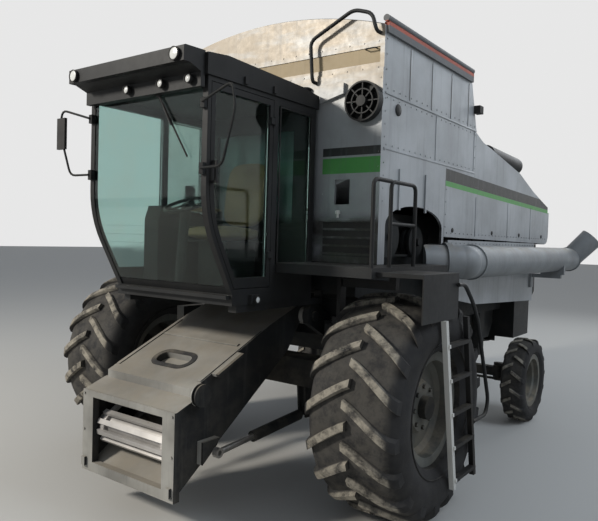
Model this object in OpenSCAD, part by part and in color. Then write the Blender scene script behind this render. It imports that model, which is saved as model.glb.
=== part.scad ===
// Combine harvester without its header, parked with the feeder house lowered.
// Every module is drawn from the middle of the front axle at floor level:
// +X is the machine's left, +Y its rear, +Z up. from_axle() sets it in the part's own frame.

/* [Stance] */
// Distance from the front axle to the rear axle
wheelbase = 3362; // [3300:10:3450]
// Distance between the two wheel centres of the front axle
front_track = 3048; // [3030:10:3140]
// Distance between the two wheel centres of the rear axle
rear_track = 3020; // [3000:10:3100]

/* [Front wheels] */
// Height of the front axle, the tyre's radius over its lugs
front_r = 876; // [866:2:880]
// Width of a front tyre
front_w = 775; // [740:5:780]
// Height of a front tyre's lugs
front_lug_h = 46; // [36:2:50]
// Lugs on each half of a front tyre
front_lugs = 18; // [14:1:20]
// Radius of the front rim's flange ring
front_rim_r = 448; // [440:2:456]

/* [Rear wheels] */
// Height of the rear axle, the tyre's radius over its lugs
rear_r = 510; // [500:2:516]
// Width of a rear tyre
rear_w = 286; // [270:2:296]
// Height of a rear tyre's lugs
rear_lug_h = 26; // [20:1:30]
// Lugs on each half of a rear tyre
rear_lugs = 15; // [12:1:17]
// Radius of the rear rim's flange ring
rear_rim_r = 322; // [312:2:332]

/* [Body] */
// Half the width over the side sheets
body_hw = 1286; // [1270:2:1300]
// Thickness of the folded side sheets
sheet_t = 25; // [16:1:30]
// Rear end of the side shields
body_rear_y = 5067; // [5000:10:5120]
// Half the width of the threshing and separating housing
sep_hw = 1000; // [960:5:1020]
// Top of the separator housing
sep_top_z = 2430; // [2410:5:2440]

/* [Grain tank] */
// Rear end of the grain tank
tank_rear_y = 2060; // [2020:10:2120]
// Height at which the extension sits on the tank
tank_z = 3390; // [3360:5:3420]
// Height of the extension's side edges
tank_top_z = 3925; // [3890:5:3950]
// Rise of the crowned end caps over the side edges
crown_h = 210; // [160:5:240]
// Thickness of the tank's walls
tank_t = 18; // [12:1:24]

/* [Cab] */
// Half the width of the cab
cab_hw = 669; // [650:2:680]
// Front of the upright part of the windshield
windshield_y = -1384; // [-1400:2:-1370]
// Centre of the door's rear post
door_post_y = -626; // [-660:2:-600]
// Back of the cab
cab_rear_y = -75; // [-90:1:-65]
// Underside of the cab's floor
cab_z = 1650; // [1645:1:1665]
// Top of the cab's floor pan
cab_floor_z = 1735; // [1725:1:1745]
// Underside of the roof
roof_z = 3290; // [3270:2:3310]
// Thickness of the cab's posts and door
post_t = 50; // [40:1:56]

/* [Platform] */
// Height of the platform's tread plate
deck_z = 1970; // [1950:5:1985]
// Outer edge of the platform
deck_x = 1560; // [1540:5:1580]
// Front edge of the platform
deck_front_y = -585; // [-600:5:-570]
// Rear edge of the platform
deck_rear_y = 780; // [740:5:790]
// Height of the hand rails over the platform
rail_h = 650; // [600:10:720]

/* [Unloading auger] */
// Radius of the auger tube
auger_r = 160; // [150:2:166]
// Length of the auger tube
auger_len = 3840; // [3700:20:3900]
// Height of the auger tube
auger_z = 1990; // [1975:5:2010]
// Distance of the elbow outside the left side sheet
elbow_out = 254; // [244:2:274]
// Distance of the elbow behind the front axle
elbow_y = 1210; // [1200:5:1240]
// Turret axis, degrees from straight out towards the rear
turret_angle = 42; // [40:1:44]

/* [Feeder house] */
// Half the width of the feeder house
feeder_hw = 500; // [480:5:510]
// Half the width of the front face frame
face_hw = 538; // [530:2:550]
// Front of the face frame
face_y = -1505; // [-1515:5:-1490]
// Underside of the face frame
face_z0 = 260; // [240:5:280]
// Top of the face frame
face_z1 = 910; // [895:5:920]
// Height of the feeder house's pivot
pivot_z = 1480; // [1470:2:1490]
// Feeder house pivot behind the front axle
pivot_y = 60; // [50:2:66]

/* [Hidden] */
$fn = 48;

galvanised = [0.60, 0.62, 0.63];
cab_black = [0.07, 0.08, 0.08];
frame_grey = [0.16, 0.17, 0.17];
rubber_black = [0.06, 0.06, 0.06];
rim_silver = [0.55, 0.56, 0.55];
glass_green = [0.35, 0.52, 0.48];
rust_red = [0.38, 0.10, 0.09];
seat_tan = [0.62, 0.45, 0.24];

front_axle_y = -1872;
seat_gap = 0.3;
front_x = front_track / 2;
rear_x = rear_track / 2;

// Sets the axle-based drawing in the part's frame.
module from_axle() {
  translate([0, front_axle_y, 0]) children();
}

// Cuboid between two corners.
module block(lo, hi) {
  translate(lo) cube(hi - lo);
}

// Copies its children to both sides of the machine.
module both_sides() {
  children();
  mirror([1, 0, 0]) children();
}

// Extrudes a (y, z) outline along X from x0 to x1.
module side_cut(x0, x1) {
  translate([x0, 0, 0]) rotate([90, 0, 90]) linear_extrude(x1 - x0) children();
}

// Extrudes an (x, z) outline along Y from y0 to y1.
module front_cut(y0, y1) {
  translate([0, y1, 0]) rotate([90, 0, 0]) linear_extrude(y1 - y0) children();
}

// Round bar between two points.
module bar(p, q, d) {
  v = q - p;
  len = norm(v);
  translate(p) rotate([0, acos(v[2] / len), atan2(v[1], v[0])]) cylinder(h = len, d = d);
}

// Bent pipe through a list of points: each straight runs a little past its bends.
module pipe(points, d) {
  last = len(points) - 1;
  for (i = [0 : last - 1]) {
    p = points[i];
    q = points[i + 1];
    dir = (q - p) / norm(q - p);
    bar(p - (i > 0 ? d * 0.4 : 0) * dir, q + (i < last - 1 ? d * 0.4 : 0) * dir, d, $fn = 12);
  }
}

// Disc or ring across the machine: axis along X, from x0 to x1.
module x_disc(x0, x1, r) {
  translate([x0, 0, 0]) rotate([0, 90, 0]) cylinder(h = x1 - x0, r = r);
}

// Turns an outline of [radius, distance along X] round the X axis.
module x_revolve() {
  rotate([0, 90, 0]) rotate_extrude($fn = 64) children();
}

// One tyre lug through sections of [x, turn, top radius, bottom radius, half length].
module lug(sections) {
  n = len(sections);
  corners = [for (s = sections, c = [[s[3], -1], [s[3], 1], [s[2], 0.8], [s[2], -0.8]])
    let (a = s[1] + c[1] * s[4] / c[0] * 180 / PI) [s[0], -c[0] * sin(a), c[0] * cos(a)]];
  polyhedron(corners, concat(
    [[0, 3, 2, 1]],
    [for (k = [0 : n - 2], j = [0 : 3])
      [4 * k + j, 4 * k + (j + 1) % 4, 4 * k + 4 + (j + 1) % 4, 4 * k + 4 + j]],
    [[4 * n - 4, 4 * n - 3, 4 * n - 2, 4 * n - 1]]));
}

// Tyre round the X axis at the origin, its slanted lugs meeting at the middle.
// Its beads sit between the rim's flange rings: seat is half the distance between the rings.
module tyre(w, r, lug_h, lugs, bead_r, seat, ring_r, sweep, lug_half) {
  h = w / 2;
  base = r - lug_h;
  side = base - ring_r;
  wall_line = [
    [ring_r + 8, 0.82], [ring_r + side * 0.3, 0.97], [ring_r + side * 0.5, 1],
    [ring_r + side * 0.72, 0.96], [base - side * 0.12, 0.87], [base - side * 0.03, 0.74], [base, 0.45]
  ];
  x_revolve() polygon(concat([[bead_r, -seat], [ring_r + 2, -seat]],
    [for (p = wall_line) [p[0], -h * p[1]]], [for (k = [6 : -1 : 0]) [wall_line[k][0], h * wall_line[k][1]]],
    [[ring_r + 2, seat], [bead_r, seat]]));
  for (k = [0 : lugs - 1], side = [0, 1])
    rotate([(k + side / 2) * 360 / lugs, 0, 0]) mirror([side, 0, 0])
      lug([
        [-w * 0.02, 0, r, base - 20, lug_half],
        [w * 0.25, sweep * 0.55, r - 2, base - w * 0.03, lug_half],
        [w * 0.42, sweep, r - lug_h, base - w * 0.11, lug_half * 1.1]
      ]);
}

// Wheel round the X axis at the origin: rim well, dished disc with bolts, hub tube hub_len long.
// Its hub faces +X; disc_r is where the disc meets the rim.
flange_t = 18;
module wheel_rim(half_w, bead_r, ring_r, disc_x, disc_r, hub_r, bore_r, hub_len, bolts) {
  bolt_circle = hub_r - 28;
  difference() {
    union() {
      x_revolve() polygon([
        [bead_r - 34, -half_w], [ring_r, -half_w], [ring_r, -half_w + flange_t - 4],
        [bead_r, -half_w + flange_t], [bead_r, -half_w * 0.5], [bead_r - 48, -half_w * 0.36],
        [bead_r - 48, half_w * 0.36], [bead_r, half_w * 0.5], [bead_r, half_w - flange_t],
        [ring_r, half_w - flange_t + 4], [ring_r, half_w], [bead_r - 34, half_w],
        [bead_r - 34, half_w * 0.55], [bead_r - 64, half_w * 0.4], [bead_r - 64, -half_w * 0.4],
        [bead_r - 34, -half_w * 0.55]
      ]);
      x_revolve() polygon([
        [bore_r, disc_x], [hub_r, disc_x], [hub_r + 24, disc_x - 46], [disc_r - 40, disc_x - 60],
        [disc_r, disc_x - 16], [disc_r, disc_x - 40], [disc_r - 34, disc_x - 82],
        [hub_r + 6, disc_x - 68], [hub_r - 10, disc_x - 20], [bore_r + 40, disc_x - 20],
        [bore_r + 40, disc_x - hub_len], [bore_r, disc_x - hub_len]
      ]);
    }
    for (k = [0 : bolts - 1]) rotate([k * 360 / bolts, 0, 0])
      translate([disc_x - 30, 0, bolt_circle]) rotate([0, 90, 0]) cylinder(h = 50, r = 11);
  }
  for (k = [0 : bolts - 1]) rotate([k * 360 / bolts, 0, 0])
    translate([disc_x - 20, 0, bolt_circle]) rotate([0, 90, 0]) cylinder(h = 38, r = 11);
}

// Sizes that several pieces share.
front_disc_x = 200;
front_bead_r = 410;
front_hub_r = 190;
front_shaft_r = 90;
rear_disc_x = -10;
rear_bead_r = 296;
rear_hub_r = 110;
spindle_r = 34;
run_gap = 0.05;
rail_x0 = 862;
rail_x1 = 960;
rail_z0 = 1290;
sep_z0 = 1450;
beam_top_z = front_r + 244;
hanger_z0 = 740;
rear_beam_z = 560;
pivot_pin_r = 32;
kingpin_x = 1190;
kingpin_r = 24;
arm_len = 190;
trunnion_r = 45;
trunnion_x0 = feeder_hw + 60;
trunnion_x1 = feeder_hw + 120;
straw_y = 4060;

module at_front_wheel(side) {
  from_axle() translate([side * front_x, 0, front_r]) mirror([side < 0 ? 1 : 0, 0, 0]) children();
}

module at_rear_wheel(side) {
  from_axle() translate([side * rear_x, wheelbase, rear_r]) mirror([side < 0 ? 1 : 0, 0, 0])
    children();
}

front_rim_hw = front_w * 0.355;
rear_rim_hw = rear_w * 0.38;
rear_hub_len = 120;
module front_tyre() {
  tyre(front_w, front_r, front_lug_h, front_lugs, front_bead_r,
    front_rim_hw - flange_t - seat_gap, front_rim_r, 15, 27);
}

module front_rim() {
  wheel_rim(front_rim_hw, front_bead_r - seat_gap, front_rim_r, front_disc_x, front_bead_r - 28,
    front_hub_r, front_shaft_r + run_gap, 20.5, 8);
}

module rear_tyre() {
  tyre(rear_w, rear_r, rear_lug_h, rear_lugs, rear_bead_r,
    rear_rim_hw - flange_t - seat_gap, rear_rim_r, 9, 17);
}

module rear_rim() {
  wheel_rim(rear_rim_hw, rear_bead_r - seat_gap, rear_rim_r, rear_disc_x, rear_bead_r - 62,
    rear_hub_r, spindle_r + run_gap, rear_hub_len, 6);
}

module tyre_front_left() { color(rubber_black) at_front_wheel(1) front_tyre(); }
module tyre_front_right() { color(rubber_black) at_front_wheel(-1) front_tyre(); }
module rim_front_left() { color(rim_silver) at_front_wheel(1) front_rim(); }
module rim_front_right() { color(rim_silver) at_front_wheel(-1) front_rim(); }
module tyre_rear_left() { color(rubber_black) at_rear_wheel(1) rear_tyre(); }
module tyre_rear_right() { color(rubber_black) at_rear_wheel(-1) rear_tyre(); }
module rim_rear_left() { color(rim_silver) at_rear_wheel(1) rear_rim(); }
module rim_rear_right() { color(rim_silver) at_rear_wheel(-1) rear_rim(); }

// Frame rails with their legs on the front axle, feeder trunnion plates and rear axle hanger.
module main_frame() {
  color(frame_grey) from_axle() {
    both_sides() {
      block([rail_x0, -130, rail_z0], [rail_x1, straw_y - seat_gap, sep_z0]);
      block([rail_x0, -110, beam_top_z], [rail_x1, 110, rail_z0 - seat_gap]);
      block([rail_x0 + 8, wheelbase - 90, hanger_z0 + 130 + seat_gap],
        [rail_x1, wheelbase + 90, rail_z0 - seat_gap]);
      block([trunnion_x1 + seat_gap, 220, rail_z0], [rail_x0 - seat_gap, 340, sep_z0 - 20]);
      difference() {
        side_cut(trunnion_x0, trunnion_x1) polygon([
          [pivot_y - 90, pivot_z - 60], [pivot_y - 90, pivot_z + 70], [pivot_y - 40, pivot_z + 110],
          [pivot_y + 60, pivot_z + 110], [340, sep_z0 - 20], [340, rail_z0], [220, rail_z0]
        ]);
        translate([0, pivot_y, pivot_z]) x_disc(trunnion_x0 - 1, trunnion_x1 + 1, trunnion_r + run_gap);
      }
    }
    block([-trunnion_x0 + seat_gap, 220, rail_z0], [trunnion_x0 - seat_gap, 340, sep_z0 - 20]);
    block([-rail_x1, wheelbase - 90, hanger_z0], [rail_x1, wheelbase + 90, hanger_z0 + 130]);
    for (y = [wheelbase - 122 - seat_gap, wheelbase + 90 + seat_gap]) front_cut(y, y + 32) polygon([
      [-110, hanger_z0 + 60], [-70, rear_beam_z - 50], [70, rear_beam_z - 50],
      [110, hanger_z0 + 60]
    ]);
    translate([0, wheelbase + 122, rear_beam_z]) rotate([90, 0, 0])
      cylinder(h = 244, r = pivot_pin_r);
    difference() {
      block([-70, wheelbase + 122 + 2 * seat_gap, hanger_z0], [70, wheelbase + 340, hanger_z0 + 25]);
      translate([0, wheelbase + 290, hanger_z0 - 1]) cylinder(h = 27, r = 17);
    }
    both_sides() for (x = [580, 650])
      difference() {
        side_cut(x, x + 20) polygon([[-120, front_r + 4], [60, front_r + 4], [20, 600], [-90, 600]]);
        translate([0, -30, 640]) x_disc(x - 1, x + 21, 20.05);
      }
  }
}

// Front axle beam with the final drives and their output shafts.
drive_x0 = 962;
drive_x1 = 1112;
module front_axle() {
  color(frame_grey) from_axle() {
    block([-drive_x0, -130, front_r + 4], [drive_x0, 130, beam_top_z]);
    both_sides() {
      translate([0, 0, front_r]) x_disc(drive_x0, drive_x1, 190);
      translate([0, 0, beam_top_z - 120]) x_disc(drive_x0, drive_x1, 140);
      block([drive_x0, -140, front_r], [drive_x1, 140, beam_top_z - 120]);
      translate([0, 0, front_r]) {
        x_disc(drive_x1, front_x + front_disc_x - 60, front_shaft_r + 20);
        x_disc(front_x + front_disc_x - 60, front_x + front_disc_x - 21, front_hub_r - 20);
        x_disc(front_x + front_disc_x - 21, front_x + front_disc_x + 60, front_shaft_r);
      }
    }
  }
}

// Rear axle beam, rocking on its middle pin, with an upright bore at each end.
module rear_axle_beam() {
  color(frame_grey) from_axle() difference() {
    union() {
      block([-kingpin_x, wheelbase - 55, rear_beam_z - 55], [kingpin_x, wheelbase + 55, rear_beam_z + 55]);
      translate([0, wheelbase + 72, rear_beam_z]) rotate([90, 0, 0]) cylinder(h = 144, r = 72);
      for (x = [-kingpin_x, kingpin_x])
        translate([x, wheelbase, rear_beam_z - 72]) cylinder(h = 144, r = 56);
    }
    translate([0, wheelbase + 80, rear_beam_z]) rotate([90, 0, 0])
      cylinder(h = 160, r = pivot_pin_r + run_gap);
    for (x = [-kingpin_x, kingpin_x])
      translate([x, wheelbase, rear_beam_z - 80]) cylinder(h = 160, r = kingpin_r + run_gap);
  }
}

// Steering knuckle: two ears, kingpin, upright, spindle and a steering arm to the rear.
module knuckle() {
  from_axle() translate([kingpin_x, wheelbase, 0]) {
    translate([0, 0, rear_beam_z - 110]) cylinder(h = 220, r = kingpin_r);
    for (z = [rear_beam_z - 110, rear_beam_z + 77]) {
      translate([0, 0, z]) cylinder(h = 33, r = 50);
      block([0, -50, z], [100, 50, z + 33]);
    }
    block([68, -60, rear_beam_z - 110], [100, 60, rear_beam_z + 110]);
    translate([0, 0, rear_r]) {
      x_disc(100, rear_x - kingpin_x + rear_disc_x - rear_hub_len - 1, 56);
      x_disc(100, rear_x - kingpin_x + rear_disc_x + 50, spindle_r);
    }
    difference() {
      union() {
        block([-26, 40, rear_beam_z - 110], [26, arm_len, rear_beam_z - 82]);
        translate([0, arm_len, rear_beam_z - 110]) cylinder(h = 28, r = 34);
      }
      translate([0, arm_len, rear_beam_z - 111]) cylinder(h = 30, r = 16.05);
    }
  }
}

module knuckle_left() { color(frame_grey) knuckle(); }
module knuckle_right() { color(frame_grey) mirror([1, 0, 0]) knuckle(); }

// Tie rod under the two steering arms.
module tie_rod() {
  color(frame_grey) from_axle() translate([0, wheelbase + arm_len, rear_beam_z - 139]) {
    for (x = [-kingpin_x, kingpin_x]) translate([x, 0, -14]) {
      cylinder(h = 42.5, r = 30);
      cylinder(h = 70, r = 16);
    }
    rotate([0, 90, 0]) translate([0, 0, -kingpin_x]) cylinder(h = 2 * kingpin_x, r = 17);
  }
}

// Threshing and separating housing: closed, with ribs pressed into its sides.
module separator_housing() {
  color(frame_grey) from_axle() {
    side_cut(-sep_hw, sep_hw) polygon([
      [345, sep_z0], [345, pivot_z + 140], [120, pivot_z + 200], [120, sep_top_z],
      [4300, sep_top_z], [4640, 2190], [4640, 1700], [4050, sep_z0]
    ]);
    both_sides() for (y = [1500 : 420 : 4020])
      block([sep_hw, y, sep_z0 + 60], [sep_hw + 22, y + 60, sep_top_z - 60]);
    difference() {
      side_cut(-sep_hw, -sep_hw + 60) polygon([
        [screen_y - 120, sep_top_z - 10], [screen_y - 70, screen_z + 80],
        [screen_y + 70, screen_z + 80], [screen_y + 120, sep_top_z - 10]
      ]);
      translate([0, screen_y, screen_z]) x_disc(-sep_hw - 1, -sep_hw + 61, screen_shaft_r + run_gap);
    }
  }
}

// Cleaning shoe under the separator, between the rails.
module cleaning_shoe() {
  color(frame_grey) from_axle() {
    side_cut(-rail_x0, rail_x0) polygon([
      [900, sep_z0], [900, 1180], [1120, 960], [1420, 900], [1640, 980], [1860, 900],
      [2160, 960], [2400, 905], [3900, 905], [4050, 1100], [4050, sep_z0]
    ]);
  }
}

// Engine: a plain block of the real one's size, on the deck behind the tank.
module engine_block() {
  color(frame_grey) from_axle() block([-430, 2450, sep_top_z], [430, 3650, 2960]);
}

// Grain tank: four walls and the hopper that slopes to the cross auger's trough.
hopper_z1 = 2790;
trough_hw = 260;
lap_x = body_hw - tank_t / 2;
module grain_tank() {
  color(galvanised) from_axle() {
    both_sides() {
      block([body_hw - tank_t, 0, hopper_z1], [body_hw, tank_rear_y, tank_z]);
      front_cut(tank_t / 2, tank_rear_y - tank_t / 2) polygon([
        [lap_x, hopper_z1 + 8], [lap_x, hopper_z1 + 8 + tank_t * 1.4],
        [trough_hw, sep_top_z + tank_t * 1.4], [trough_hw, sep_top_z]
      ]);
      block([0, tank_t / 2, sep_top_z], [trough_hw + 8, tank_rear_y - tank_t / 2, sep_top_z + tank_t]);
    }
    for (y = [0, tank_rear_y - tank_t]) front_cut(y, y + tank_t) polygon([
      [-lap_x, tank_z], [-lap_x, hopper_z1 + 8], [-trough_hw, sep_top_z],
      [trough_hw, sep_top_z], [lap_x, hopper_z1 + 8], [lap_x, tank_z]
    ]);
    for (y = [60 : 400 : 1660]) both_sides()
      block([body_hw - tank_t - 22, y, hopper_z1 + 60], [lap_x, y + 40, tank_z]);
  }
}

// Height of the crowned cover over the tank's side edges at x.
function crown_z(x, rise) = tank_top_z + rise * (1 - pow(x / body_hw, 2));
function crown_line(hw, rise) = [for (k = [-8 : 8]) [k * hw / 8, crown_z(k * hw / 8, rise)]];

// Tank extension: side sheets that lean in at the rear, crowned end caps, stiffening bows.
ext_rear_y = tank_rear_y - 192;
ext_h = tank_top_z - tank_z;
strip_z = tank_z + ext_h * 0.355;
module tank_extension() {
  color(galvanised) from_axle() {
    both_sides() {
      side_cut(body_hw - tank_t, body_hw) polygon([
        [0, tank_z], [0, tank_top_z], [ext_rear_y, tank_top_z], [tank_rear_y, tank_z]
      ]);
      for (y = [450 : 450 : 1350])
        block([body_hw - tank_t - 30, y, tank_z + 20], [lap_x, y + 40, tank_top_z - 20]);
    }
    block([-body_hw + 60, -7, strip_z + 4], [body_hw - 60, tank_t / 2, strip_z + 20]);
    front_cut(0, tank_t) end_cap();
    difference() {
      front_cut(ext_rear_y - 200, tank_rear_y) end_cap();
      side_cut(-body_hw, body_hw) polygon([
        [ext_rear_y - 201, tank_z - 1], [ext_rear_y - 201, tank_top_z + 400],
        [ext_rear_y - tank_t, tank_top_z + 400], [ext_rear_y - tank_t, tank_top_z],
        [tank_rear_y - tank_t, tank_z - 1]
      ]);
      side_cut(-body_hw, body_hw) polygon([
        [tank_rear_y + 1, tank_z - 1], [tank_rear_y, tank_z], [ext_rear_y, tank_top_z],
        [ext_rear_y, tank_top_z + 400], [tank_rear_y + 1, tank_top_z + 400]
      ]);
    }
    front_cut(-14, 0) difference() {
      polygon(concat([[-body_hw, strip_z], [-body_hw, tank_top_z]], crown_line(body_hw, crown_h),
        [[body_hw, tank_top_z], [body_hw, strip_z]]));
      translate([-body_hw + 40, strip_z + ext_h * 0.09]) square([2 * body_hw - 80, ext_h * 0.24]);
    }
  }
}

module end_cap() {
  hw = body_hw - tank_t;
  step_z = tank_top_z - 20;
  polygon(concat([[-lap_x, tank_z], [-lap_x, step_z], [-hw, step_z]], crown_line(hw, crown_h),
    [[hw, step_z], [lap_x, step_z], [lap_x, tank_z]]));
}

// Roll cover stretched over the crowned caps.
cover_t = 8;
module tank_cover() {
  color([0.80, 0.78, 0.72]) from_axle() front_cut(2, ext_rear_y - 2) polygon(concat(
    crown_line(body_hw - tank_t, crown_h + seat_gap),
    [for (k = [8 : -1 : -8]) let (x = k * (body_hw - tank_t) / 8) [x, crown_z(x, crown_h) + cover_t]]));
}

// Roll tube and clamp rail along each side edge of the extension.
module tank_rails() {
  color(rust_red) from_axle() both_sides() {
    block([body_hw - tank_t, 4, tank_top_z + seat_gap], [body_hw + 26, ext_rear_y - 4, tank_top_z + 26]);
    block([body_hw + seat_gap, 4, tank_top_z - 62], [body_hw + 26, ext_rear_y - 4, tank_top_z + 10]);
    translate([body_hw + 6, -14, tank_top_z + 52]) rotate([-90, 0, 0]) cylinder(h = ext_rear_y + 10, r = 28);
  }
}

// Front sheet under the tank: stepped recess behind the cab and a framed service opening.
wall_z0 = 1975;
module front_wall() {
  color(galvanised) from_axle() {
    front_cut(-sheet_t, 0) difference() {
      polygon([
        [-body_hw, wall_z0], [body_hw, wall_z0], [body_hw, strip_z - 2], [-body_hw, strip_z - 2]
      ]);
      translate([850, 2470]) square([150, 210]);
      translate([-1000, 2470]) square([150, 210]);
    }
    both_sides() {
      for (z = [2040 : 70 : 2320]) block([740, -sheet_t - 10, z], [1240, -sheet_t, z + 18]);
      block([cab_hw + 30, 0, wall_z0], [body_hw - sheet_t, 60, 2060]);
      block([820, 0, 2440], [1030, 70, 2458]);
    }
    front_cut(-62, -sheet_t) polygon([[690, 3490], [930, 3490], [930, 3400], [690, 3340]]);
  }
}

// Round guarded screen on the tank's front sheet.
module front_screen() {
  color(cab_black) from_axle() translate([body_hw - 156, -sheet_t - seat_gap, 3310]) rotate([90, 0, 0]) {
    difference() {
      cylinder(h = 70, r = 165);
      translate([0, 0, 12]) cylinder(h = 60, r = 152);
    }
    difference() {
      cylinder(h = 66, r = 104);
      translate([0, 0, 12]) cylinder(h = 60, r = 94);
    }
    cylinder(h = 84, r = 44);
    for (k = [0 : 7]) rotate(k * 45) translate([40, -5, 0]) cube([116, 10, 62]);
  }
}

// Upper edge of the side shields at y.
function shield_top(y) = y < tank_rear_y ? hopper_z1 : hopper_z1 - (y - tank_rear_y) * 0.046;

// Side shield at the rear with its lower panel; the left one has the arched drive bay ahead.
shield_y = 1290;
module side_shield() {
  x0 = body_hw - sheet_t;
  side_cut(x0, body_hw) polygon(concat(
    [[shield_y, 2230], [shield_y, shield_top(shield_y)], [tank_rear_y, shield_top(tank_rear_y)],
      [body_rear_y, shield_top(body_rear_y)], [body_rear_y, 2330]],
    [for (k = [0 : 4]) [body_rear_y - 130 + 130 * cos(k * 22.5), 2330 - 130 * sin(k * 22.5)]]));
  side_cut(x0, body_hw) polygon([
    [1400, 2199.7], [4380, 2199.7], [4380, 1410], [2200, 1500], [1400, 1620]
  ]);
  for (y = [1500, 2340, 3600]) block([sep_hw + 22, y, 2120], [x0 - seat_gap, y + 60, 2160]);
  for (y = [1920 : 840 : 4020]) block([sep_hw + 22, y, 1700], [x0 - seat_gap, y + 60, 1740]);
}

bay_arch = [for (k = [16 : -1 : 0]) [665 + 575 * cos(k * 11.25), 2304 + 184 * sin(k * 11.25)]];
module side_shield_left() {
  color(galvanised) from_axle() {
    side_shield();
    side_cut(body_hw - sheet_t, body_hw) difference() {
      polygon([[0, wall_z0], [0, hopper_z1], [shield_y - 4, hopper_z1], [shield_y - 4, wall_z0]]);
      polygon(concat([[90, wall_z0 - 1]], bay_arch, [[1240, wall_z0 - 1]]));
    }
    for (y = [300, 820]) block([body_hw, y, 2440], [body_hw + 14, y + 30, hopper_z1]);
  }
}

screen_y = 3250;
screen_z = 2500;
screen_r = 400;
screen_shaft_r = 42;
module side_shield_right() {
  color(galvanised) from_axle() difference() {
    mirror([1, 0, 0]) {
      side_shield();
      block([body_hw - sheet_t, 0, wall_z0], [body_hw, shield_y - 4, hopper_z1]);
      for (y = [200, 700]) block([body_hw, y, wall_z0 + 80], [body_hw + 14, y + 380, wall_z0 + 110]);
    }
    translate([0, screen_y, screen_z]) x_disc(-body_hw - 60, -body_hw + sheet_t + 60, screen_r + 12);
  }
}

// Engine hood behind the tank: side sheets, stepped top, louvred rear wall.
hood_rear_y = 5000;
hood_top = [
  [2063, 3372], [2150, 3340], [2290, 3296], [2550, 3260], [3630, 3090], [4250, 2905],
  [4700, 2800], [5000, 2732]
];
function hood_z(y) = lookup(y, hood_top);
module rear_hood() {
  x0 = body_hw - sheet_t;
  under = [for (k = [7 : -1 : 0]) [hood_top[k][0], hood_top[k][1] - sheet_t]];
  color(galvanised) from_axle() {
    difference() {
      both_sides() side_cut(x0, body_hw) polygon(concat(hood_top,
        [[hood_rear_y, shield_top(hood_rear_y) + seat_gap], [2063, shield_top(2063) + seat_gap]]));
      translate([0, screen_y, screen_z]) x_disc(-body_hw - 60, -body_hw + sheet_t + 60, screen_r + 12);
    }
    side_cut(-x0, x0) polygon(concat(hood_top, under));
    difference() {
      union() {
        block([-x0 + seat_gap, hood_rear_y - sheet_t, 2192], [x0 - seat_gap, hood_rear_y, 2720]);
        block([-x0 - 5, hood_rear_y - sheet_t, 2665], [x0 + 5, hood_rear_y, 2720]);
      }
      for (z = [2300 : 60 : 2540]) block([-700, hood_rear_y - 60, z], [700, hood_rear_y + 1, z + 38]);
    }
    block([-x0 + 2, 4640 + seat_gap, 2192], [x0 - 2, hood_rear_y - 10, 2206]);
    for (x = [-940, 900]) side_cut(x, x + 40) polygon([
      [4200, sep_top_z + seat_gap], [4200, 2905], [4260, 2890], [4260, sep_top_z + seat_gap]
    ]);
  }
}

// Muffler lying on the hood, with its outlet.
module muffler() {
  color(cab_black) from_axle() {
    bar([900, 3420, 3335], [900, 4600, 3305], 240);
    bar([900, 4560, 3306], [900, 4700, 3302], 110);
    for (y = [3700, 4300]) side_cut(870, 930) polygon([
      [y, hood_z(y) + seat_gap], [y, 3250], [y + 40, 3250], [y + 40, hood_z(y + 40) + seat_gap]
    ]);
  }
}

// Straw hood at the rear: open below and behind, over the two spreader discs.
straw_hw = body_hw - 161;
module discharge_hood() {
  color(cab_black) from_axle() {
    both_sides() side_cut(straw_hw, straw_hw + 25) polygon([
      [straw_y, 900], [straw_y, 2189], [4960, 2189], [4960, 1500], [4720, 1360], [4720, 900]
    ]);
    block([-straw_hw - 5, straw_y, 900], [straw_hw + 5, straw_y + 20, sep_z0 - 10]);
    side_cut(-straw_hw - 5, straw_hw + 5) polygon([
      [4642, 2189], [4960, 2189], [4960, 1900], [4935, 1900], [4935, 2164], [4642, 2164]
    ]);
    for (x = [-420, 420]) {
      block([x - 40, 4080, 1000], [x + 40, 4560, 1060]);
      translate([x, 4500, 900]) cylinder(h = 100, r = 60);
    }
  }
}

// Straw spreader disc with its bats.
spreader_x = 420;
spreader_y = 4500;
module spreader() {
  from_axle() translate([0, spreader_y, 760]) {
    cylinder(h = 16, r = 260);
    cylinder(h = 60, r = 70);
    translate([0, 0, 60]) cylinder(h = 79.7, r = 30);
    for (k = [0 : 5]) rotate(k * 60) translate([50, -6, 6]) cube([280, 12, 80]);
  }
}
module spreader_left() { color(frame_grey) translate([spreader_x, 0, 0]) spreader(); }
module spreader_right() { color(frame_grey) translate([-spreader_x, 0, 0]) spreader(); }

// Rotary dust screen: ringed grille on a drum, turning on a stub shaft.
module rotary_screen() {
  color(frame_grey) from_axle() translate([-body_hw, screen_y, screen_z]) mirror([1, 0, 0]) {
    difference() {
      x_disc(-120, 46, screen_r);
      x_disc(-121, 34, screen_r - 14);
      for (r = [90 : 60 : 330]) difference() {
        x_disc(30, 50, r + 40);
        x_disc(29, 51, r);
      }
    }
    for (k = [0 : 11]) rotate([k * 30, 0, 0]) block([30, -6, 60], [40, 6, screen_r - 6]);
    x_disc(sep_hw - body_hw - 70, 60, screen_shaft_r);
  }
}

// Variable-speed pulleys and belts in the left drive bay.
module drive_pulleys() {
  color(frame_grey) from_axle() {
    for (p = [[420, 2210, 190], [960, 2170, 150]]) translate([0, p[0], p[1]]) {
      x_disc(sep_hw, 1190, 38);
      difference() {
        x_disc(1060, 1150, p[2]);
        x_disc(1085, 1125, p[2] + 1);
      }
      x_disc(1084, 1126, p[2] - 30 - seat_gap);
    }
    difference() {
      side_cut(1088, 1122) hull() {
        translate([420, 2210]) circle(r = 178);
        translate([960, 2170]) circle(r = 138);
      }
      side_cut(1087, 1123) hull() {
        translate([420, 2210]) circle(r = 160);
        translate([960, 2170]) circle(r = 120);
      }
    }
  }
}

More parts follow.
